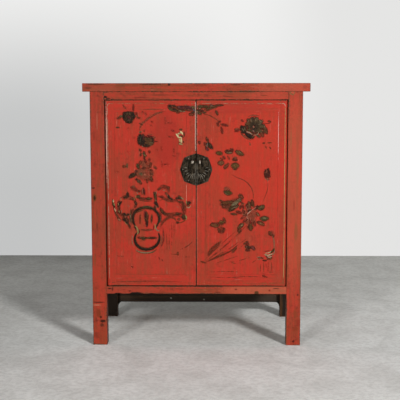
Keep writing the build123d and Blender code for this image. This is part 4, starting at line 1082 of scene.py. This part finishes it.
# %% Right door: the lotus, its leaves and the small flower
brush_on(right, """
dab cover=.82: 5A3016 17 117 679 44 7; brown 12 148 688 28 -6; 62583E 18 162 669 33 14; moss 13 174 681 32 14;
33220C 17 149 643 34 20; 3E2C12 12 155 656 20 15; rust 8 122 660 15 7; brown 7 160 631 30 -4; rust 12 201 716 17 -13;
4C3A1E 8 183 658 15 13; moss 8 199 704 10 -16; rust 6 108 694 17 -6

line cover=.75 lift=.6: stone 3 165 667 18 13 20 6; stone 3 160 650 16 10 19 4; 8E6A58 3 188 693 19 12;
stone 2.5 169 682 18 7; clay 3 148 661 16 13; moss 3 206 674 24 5

wash cover=.72: clay 66 209 632 86 -5; clay 46 223 594 59 0; brown 26 232 675 35 4; rust 26 192 568 20 -25;
rust 24 279 592 42 -10; olive 24 279 660 42 1; 5E3826 52 106 681 51 -14 47 29; 5E3826 30 157 644 38 33;
rust 30 59 575 75 10; rust 34 100 555 34 4; rust 26 233 568 39 -3

dab lift=.5: 5A1208 8 204 655 7 15; wine 6 218 670 3 -15; 66190D 12 186 642 25 -10; 701A0E 9 218 651 6 -18;
4E1C0E 11 232 674 11 -23; 603A20 13 244 689 7 -35; 52280F 13 258 697 9 -36; 5A1608 7 259 696 5 -16;
36100A 9 240 642 15 10; 440E06 12 273 649 15 20; 4C381A 23 286 655 32 15 -.1; 36260E 11 298 650 15 11;
745436 8 282 634 13 -14; 4A4020 23 297 608 42 1; 3A2E12 8 307 599 22 1; 663618 16 287 594 32 -18;
wine 8 253 606 1 -26; 54300F 20 253 585 2 -34; 401A0A 6 247 578 2 -22; 7A2014 8 208 606 21 12; 701A10 9 219 593 19 15;
56381C 19 195 561 27 25; 301A0C 7 202 571 9 10; 562812 9 197 556 5 -18; 7A2014 5 223 625 11 -2;
70241A 7 270 594 5 -21; 7A2A1C 6 209 684 11 -7

dab lift=.75 halo=0: 72664A 8 309 612 19 -4; 6A5A3C 7 295 660 14 5; 9C8468 5 208 572 10 8; 96684A 4 295 588 14 -6;
7A5A3A 5 252 573 1 -14; 74583A 4 246 681 4 -16
""")
LOTUS = np.array([244, 633])
PETAL_WIDTH = 2.6
thin_petal = {**LOOKS["line"], "tone": "A85C48", "cover": 0.7, "lift": 0.7}
for angle, start, end in ((2.45, 18, 34), (2.9, 12, 30), (3.35, 14, 32), (3.8, 16, 36), (4.25, 14, 42),
                          (4.65, 12, 40), (5.05, 14, 44), (5.5, 16, 46), (5.9, 14, 38), (0.1, 14, 36),
                          (0.45, 22, 40), (1.15, 18, 36), (1.5, 12, 34), (1.9, 12, 36)):
    way = np.array([math.cos(angle), math.sin(angle)])
    right.stroke([LOTUS + way * start, LOTUS + way * end], PETAL_WIDTH, **thin_petal)
brush_on(right, """
line cover=.92 lift=.9: D2A088 4.6 237 627 8 9 11 9; B87A64 3.4 254 644 15 10 13 10; B87A64 3.5 237 625 1 -14 8 -7

dab cover=.82: 6A3A1E 19 67 580 39 -9; 46300E 10 89 577 14 -3; 52340F 12 104 586 30 8; 662C12 10 127 612 8 -27;
rust 8 73 587 13 -14; wine 7 103 544 25 -1; rust 6 101 563 6 -16; rust 6 132 563 -4 -17; 7A4A28 8 111 598 12 -9
""")
print("lotus:", right.count, "points")

# %% Right door: grass, the last flower and the crane
brush_on(right, """
line cover=.62 steps=24: rust 4 36 406 42 45 47 43 61 55; rust 4 41 404 51 36 57 50 56 47;
rust 4.5 45 401 57 28 51 19 42 35 43 31; rust 3.5 55 454 33 27 42 28; rust 3.5 50 404 66 38 51 31 33 26;
wine 3.5 73 430 47 37 52 49; rust 3.5 120 444 47 17 43 7; rust 3.5 153 401 52 8 47 16; rust 3 92 396 47 15 57 19;
rust 3 262 397 18 14; rust 3 205 468 14 15; rust 3 237 578 -32 -34 -38 -38; rust 3 55 353 103 3 76 -5;
rust 3.5 50 329 99 -2 94 5 66 -2

wash cover=.75: rust 30 50 430 28 33 38 39; rust 14 45 401 66 29 61 29; rust 12 307 337 30 -9; rust 14 17 404 33 -8;
clay 24 224 475 33 -8; plum 16 257 473 18 -14; clay 14 285 423 33 -4; olive 14 327 411 33 15

dab lift=.45: 743018 10 168 446 20 28; rust 5 242 500 -20 -14; 66180E 9 228 491 19 -4; 3A1C0E 16 231 477 24 -9;
54180F 9 231 459 20 -2; 6A282A 13 259 478 15 -19; 461414 6 264 471 8 -7; 7A5048 5 232 477 7 -6;
662C16 15 340 547 15 -18; 4E200E 8 340 532 12 8; rust 7 361 532 -2 -13

line cover=.9 lift=.6: 8A5E44 6 356 526 7 -19 2 -22 0 -21; clay 3.5 350 554 9 -9 5 -19;
382A06 10 366 469 -7 -14 -11 -11; 5E3024 7 325 432 14 -15; 52180E 9 310 410 22 -2; rust 4 318 451 28 6;
8A4A24 5 348 422 5 -13; 4A2A1C 6 302 424 14 -6; rust 4 340 411 18 8; stone 3.5 282 424 20 3; stone 3 285 414 19 -1

line cover=.95 lift=.8: A79E7A 7 319 438 18 -4 22 8; B2977E 5 331 428 14 -3 10 5; stone 4 368 462 -3 -15 -7 -15;
BFAE86 4 322 443 19 4 11 6

dab lift=.95 halo=0: 36240A 5 348 433 8 0; 3E1E12 4 330 428 6 -7

line cover=.75: rust 3 317 404 0 -53; rust 3 338 404 -1 -49; rust 3 354 404 1 -50; rust 3 302 392 -1 -38;
rust 3 327 397 2 -24; rust 3 337 354 24 -1; rust 3.5 163 399 23 -5; rust 3 8 966 9 -4
""")
print("right door painting:", right.count, "points")
right.finish("door_painting", door_paint)

# %% [markdown]
# ## The border line
# Each door has a thin raised line a finger's width inside its outer edges, with rounded corners.
# It was gold once. Parts of it are rubbed bright and parts are gone. The seam has no line, only a
# pale rub above the lock. A row is the points, the left door's colour and cover, and the right's.

# %% The border strokes
BORDER_WIDTH = 3.2
BORDER = (
    ([(8, 1144), (200, 1144), (396, 1144)], ("B07A58", 0.5), ("B8846A", 0.6)),
    ([(396, 1144), (404, 1142.6), (409, 1138), (410.6, 1130)], ("BE8A70", 0.7), ("D2A890", 0.85)),
    ([(410.6, 1130), (410.6, 900), (410.6, 600), (410.6, 318)], ("C09078", 0.68), ("BC9A62", 0.8)),
    ([(410.6, 318), (409, 309), (404, 303), (396, 300.6), (200, 300.4), (8, 300.2)],
     ("7A4A30", 0.5), ("8A6238", 0.55)),
    ([(3.6, 924), (3.7, 1000), (3.5, 1080), (3.6, 1152)], ("D8B4A4", 0.85), None),
    ([(3.6, 924), (3.5, 1000), (3.7, 1080), (3.6, 1152)], None, ("C88E7C", 0.6)),
)
for column, side in enumerate(("left", "right")):
    border = Painting(side)
    for points, *looks in BORDER:
        if looks[column]:
            tone, cover = looks[column]
            border.stroke(points * border.outwards, BORDER_WIDTH, tone, cover, full=0.06, steps=60, lift=0.35)
    border.finish("door_border", door_paint)

# %% [markdown]
# ## Chasing on the lock plate
# The plate was decorated with a blunt punch: short curved ribs that spread from the middle.
# Each rib is one small stroke again, this time in brass.

# %% Ribs on each half of the plate
plate_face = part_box("left_lock_plate")[0].y + RIM_HEIGHT
chased = brass_finish("brass chasing", lambda pen, place: RIB_POLISH)
RIB_WIDTH, RIB_BEND, FROM_SEAM = 3.4, 2.5, 4.0
RIBS = ((-84, 14, 48), (-72, 18, 52), (-60, 22, 54), (-46, 28, 54), (-30, 30, 52), (-12, 34, 54), (8, 38, 54))
for side, sign in (("left", -1), ("right", 1)):
    chasing = Painting(side, plate_face)
    middle = np.array([sign * FROM_SEAM, 1000 * PLATE_MIDDLE_Z])
    for angle, start, end in RIBS:
        way = np.array([sign * np.cos(np.radians(angle)), np.sin(np.radians(angle))])
        bend = RIB_BEND * np.array([-way[1], way[0]]) * sign
        ends = [middle + way * start, middle + way * end]
        chasing.stroke([ends[0], (ends[0] + ends[1]) / 2 + bend, ends[1]], RIB_WIDTH, steps=10, lift=0.45)
    chasing.finish("plate_chasing", chased)

# %% [markdown]
# ## The room
# A pale floor and a pale wall, both only a stage. The floor is a grid with very shallow waves, and
# the wall stands two metres behind. Seen from behind, the wall and the underside of the floor are
# left transparent, so the cabinet can be looked at from any side.
#
# The pale wall is a matter of colour, not of more light: most of what the camera sees of it is a
# plain emission that only camera rays and mirror-like rays find.

# %% Floor and wall
WALL_Y, WALL_WIDTH, WALL_HEIGHT, WALL_FOOT = 2.02, 9, 4.5, -0.01
FLOOR_Y, FLOOR_WIDTH = -4.4, 7
FLOOR_DROP, FLOOR_WAVE = 0.0002, 0.0004


def grid_object(name, point_of, cells):
    """A surface of square cells from a function of two parameters between 0 and 1."""
    u, v = np.meshgrid(*[np.linspace(0, 1, cells + 1)] * 2)
    points = np.stack(point_of(u, v), axis=-1).reshape(-1, 3)
    corner = (np.arange(cells)[:, None] * (cells + 1) + np.arange(cells)).ravel()
    quads = np.stack([corner, corner + 1, corner + cells + 2, corner + cells + 1], axis=-1)
    mesh = bpy.data.meshes.new(name)
    mesh.from_pydata(points, [], quads.tolist())
    mesh.shade_smooth()
    thing = bpy.data.objects.new(name, mesh)
    bpy.context.scene.collection.objects.link(thing)
    return thing


def stage_material(name, colour_of, lit_part):
    """A pale matt finish with a shadow-catching part and a glowing part, see-through from behind."""
    material, pen, surface, place = start_material(name)
    colour = colour_of(pen, place)
    pen.feed(surface.inputs["Base Color"], "BCBCBA" if lit_part else colour)
    surface.inputs["Roughness"].default_value = 0.9
    surface.inputs["Specular IOR Level"].default_value = 0.15
    shader = pen.wires(surface)["BSDF"]
    if lit_part:
        rays = pen.wires(pen.node("LightPath"))
        seen = pen.math("MAXIMUM", rays["Is Camera Ray"], rays["Is Glossy Ray"])
        shader = pen.add("MixShader", seen * lit_part, shader, pen.add("Emission", colour))
    behind = pen.add("NewGeometry", out="Backfacing")
    shader = pen.add("MixShader", behind, shader, pen.add("BsdfTransparent"))
    pen.feed(material.node_tree.nodes["Material Output"].inputs["Surface"], shader)
    return material


def floor_colour(pen, place):
    """Grey concrete with painted light and shade: paler near and in front of the cabinet, a little less pale far in
    front, and a painted shadow on the left.
    """
    x, y, z = pen.split(place)
    # Painted light: paler towards the cabinet, and a little less pale far in front.
    colour = pen.mix(pen.ease(y, 1.2, -0.1), "F6F6F2", "FCFDFA")
    colour = pen.mix(pen.ease(y, -0.45, -1.3), colour, "F6F7F3")
    # Painted shadow: greyer on the left of the cabinet.
    shaded = pen.ease(x, -0.5, -1.3, 0.0, 0.55) * pen.ease(y, 1.0, 0.4)
    colour = pen.mix(shaded, colour, "BDBCB8")
    cloudy = pen.ease(pen.noise(place, 4.5, 7, 0.72, 0.5), 0.38, 0.66, 0.0, 0.27)
    colour = pen.mix(cloudy, colour, "A5A29B")
    speckled = pen.ease(pen.noise(place, 42, 4, 0.7), 0.42, 0.6, 0.0, 0.2)
    return pen.mix(speckled, colour, "96938C")


def wall_colour(pen, place):
    """Nearly white, with painted shade: greyer low down on the left and a little on the right."""
    x, y, z = pen.split(place)
    # Painted shade: greyer low down on the left and a little on the right.
    shade_low_left = pen.ease(z, 2.1, 0.9) * pen.ease(x, 0.9, -1.3)
    shade_right = pen.ease(x, 0.2, 1.0) * pen.ease(z, 2.6, 2.0)
    colour = pen.mix(shade_right, "F8F8F7", "EAEAE9")
    return pen.mix(shade_low_left, colour, "C9CACA")


def floor_point(u, v):
    """Level from side to side and front to wall, but for waves that lie sin(9 u) squared deep."""
    return FLOOR_WIDTH * (u - 0.5), FLOOR_Y + (WALL_Y - FLOOR_Y) * v, -FLOOR_DROP - FLOOR_WAVE * np.sin(9 * u) ** 2


def wall_point(u, v):
    """Upright and flat."""
    return WALL_WIDTH * (u - 0.5), np.full_like(u, WALL_Y), WALL_FOOT + WALL_HEIGHT * v


floor, wall = grid_object("floor", floor_point, 24), grid_object("wall", wall_point, 4)
floor.data.materials.append(stage_material("pale concrete", floor_colour, 0.0))
wall.data.materials.append(stage_material("pale wall", wall_colour, 0.9))
floor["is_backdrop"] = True
wall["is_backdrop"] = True
print("stage:", floor.name, wall.name)

# %% [markdown]
# ## The light
# A large soft lamp high on the front right gives the main light, and a dimmer one on the front
# left opens the shadows. A weak lamp behind lights the back. The world fills the rest: dim for
# lighting, and pale where the camera or a shiny surface sees it.

# %% Square lamps, each with its place, what it looks at, its size and its watts
LAMPS = (("key lamp", (4.13, -6.75, 3.68), (0.1, 0.0, 0.5), 1.05, 500),
         ("fill lamp", (-3.15, -7.2, 3.53), (0.0, 0.0, 0.5), 1.15, 178),
         ("back lamp", (1.2, 3.6, 2.6), (0.0, 0.3, 0.6), 2.0, 17))
for name, place, target, size, watts in LAMPS:
    lamp = bpy.data.lights.new(name, "AREA")
    lamp.shape, lamp.size, lamp.energy = "SQUARE", size, watts
    holder = bpy.data.objects.new(name, lamp)
    bpy.context.scene.collection.objects.link(holder)
    holder.location = place
    holder.rotation_euler = (Vector(target) - Vector(place)).to_track_quat("-Z", "Y").to_euler()
print("lamps:", [lamp.name for lamp in bpy.data.lights])

# %% The world's light, dim on matt surfaces and pale where it is seen
ROOM_LIGHT, ROOM_GREY = 0.11, (0.86, 0.86, 0.86, 1.0)
world = bpy.data.worlds.new("room light")
bpy.context.scene.world = world
world.use_nodes = True
pen = Pen(world.node_tree)
rays = pen.wires(pen.node("LightPath"))
behind = pen.ease(pen.split(pen.add("TexCoord", out="Generated"))[1], -0.2, 0.3, 0.22, 1.0)
mirrored = pen.math("MAXIMUM", rays["Is Glossy Ray"], rays["Is Transmission Ray"]) * behind
seen = pen.math("MAXIMUM", rays["Is Camera Ray"], mirrored)
background = world.node_tree.nodes["Background"]
pen.feed(background.inputs["Color"], ROOM_GREY)
pen.feed(background.inputs["Strength"], pen.math("MAXIMUM", seen, rays["Is Diffuse Ray"] * ROOM_LIGHT))
bpy.context.scene.view_settings.view_transform = "Standard"
print("world:", world.name, len(world.node_tree.nodes), "nodes")

# %% [markdown]
# ## Measure and finish
# The dressed cabinet is meant to be no larger than the solids, and both boxes are printed.

# %% Print the boxes
boxes = {"cad": cad_box, "visual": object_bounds()}
boxes = {label: [[float(value) for value in corner] for corner in box] for label, box in boxes.items()}
print(boxes)
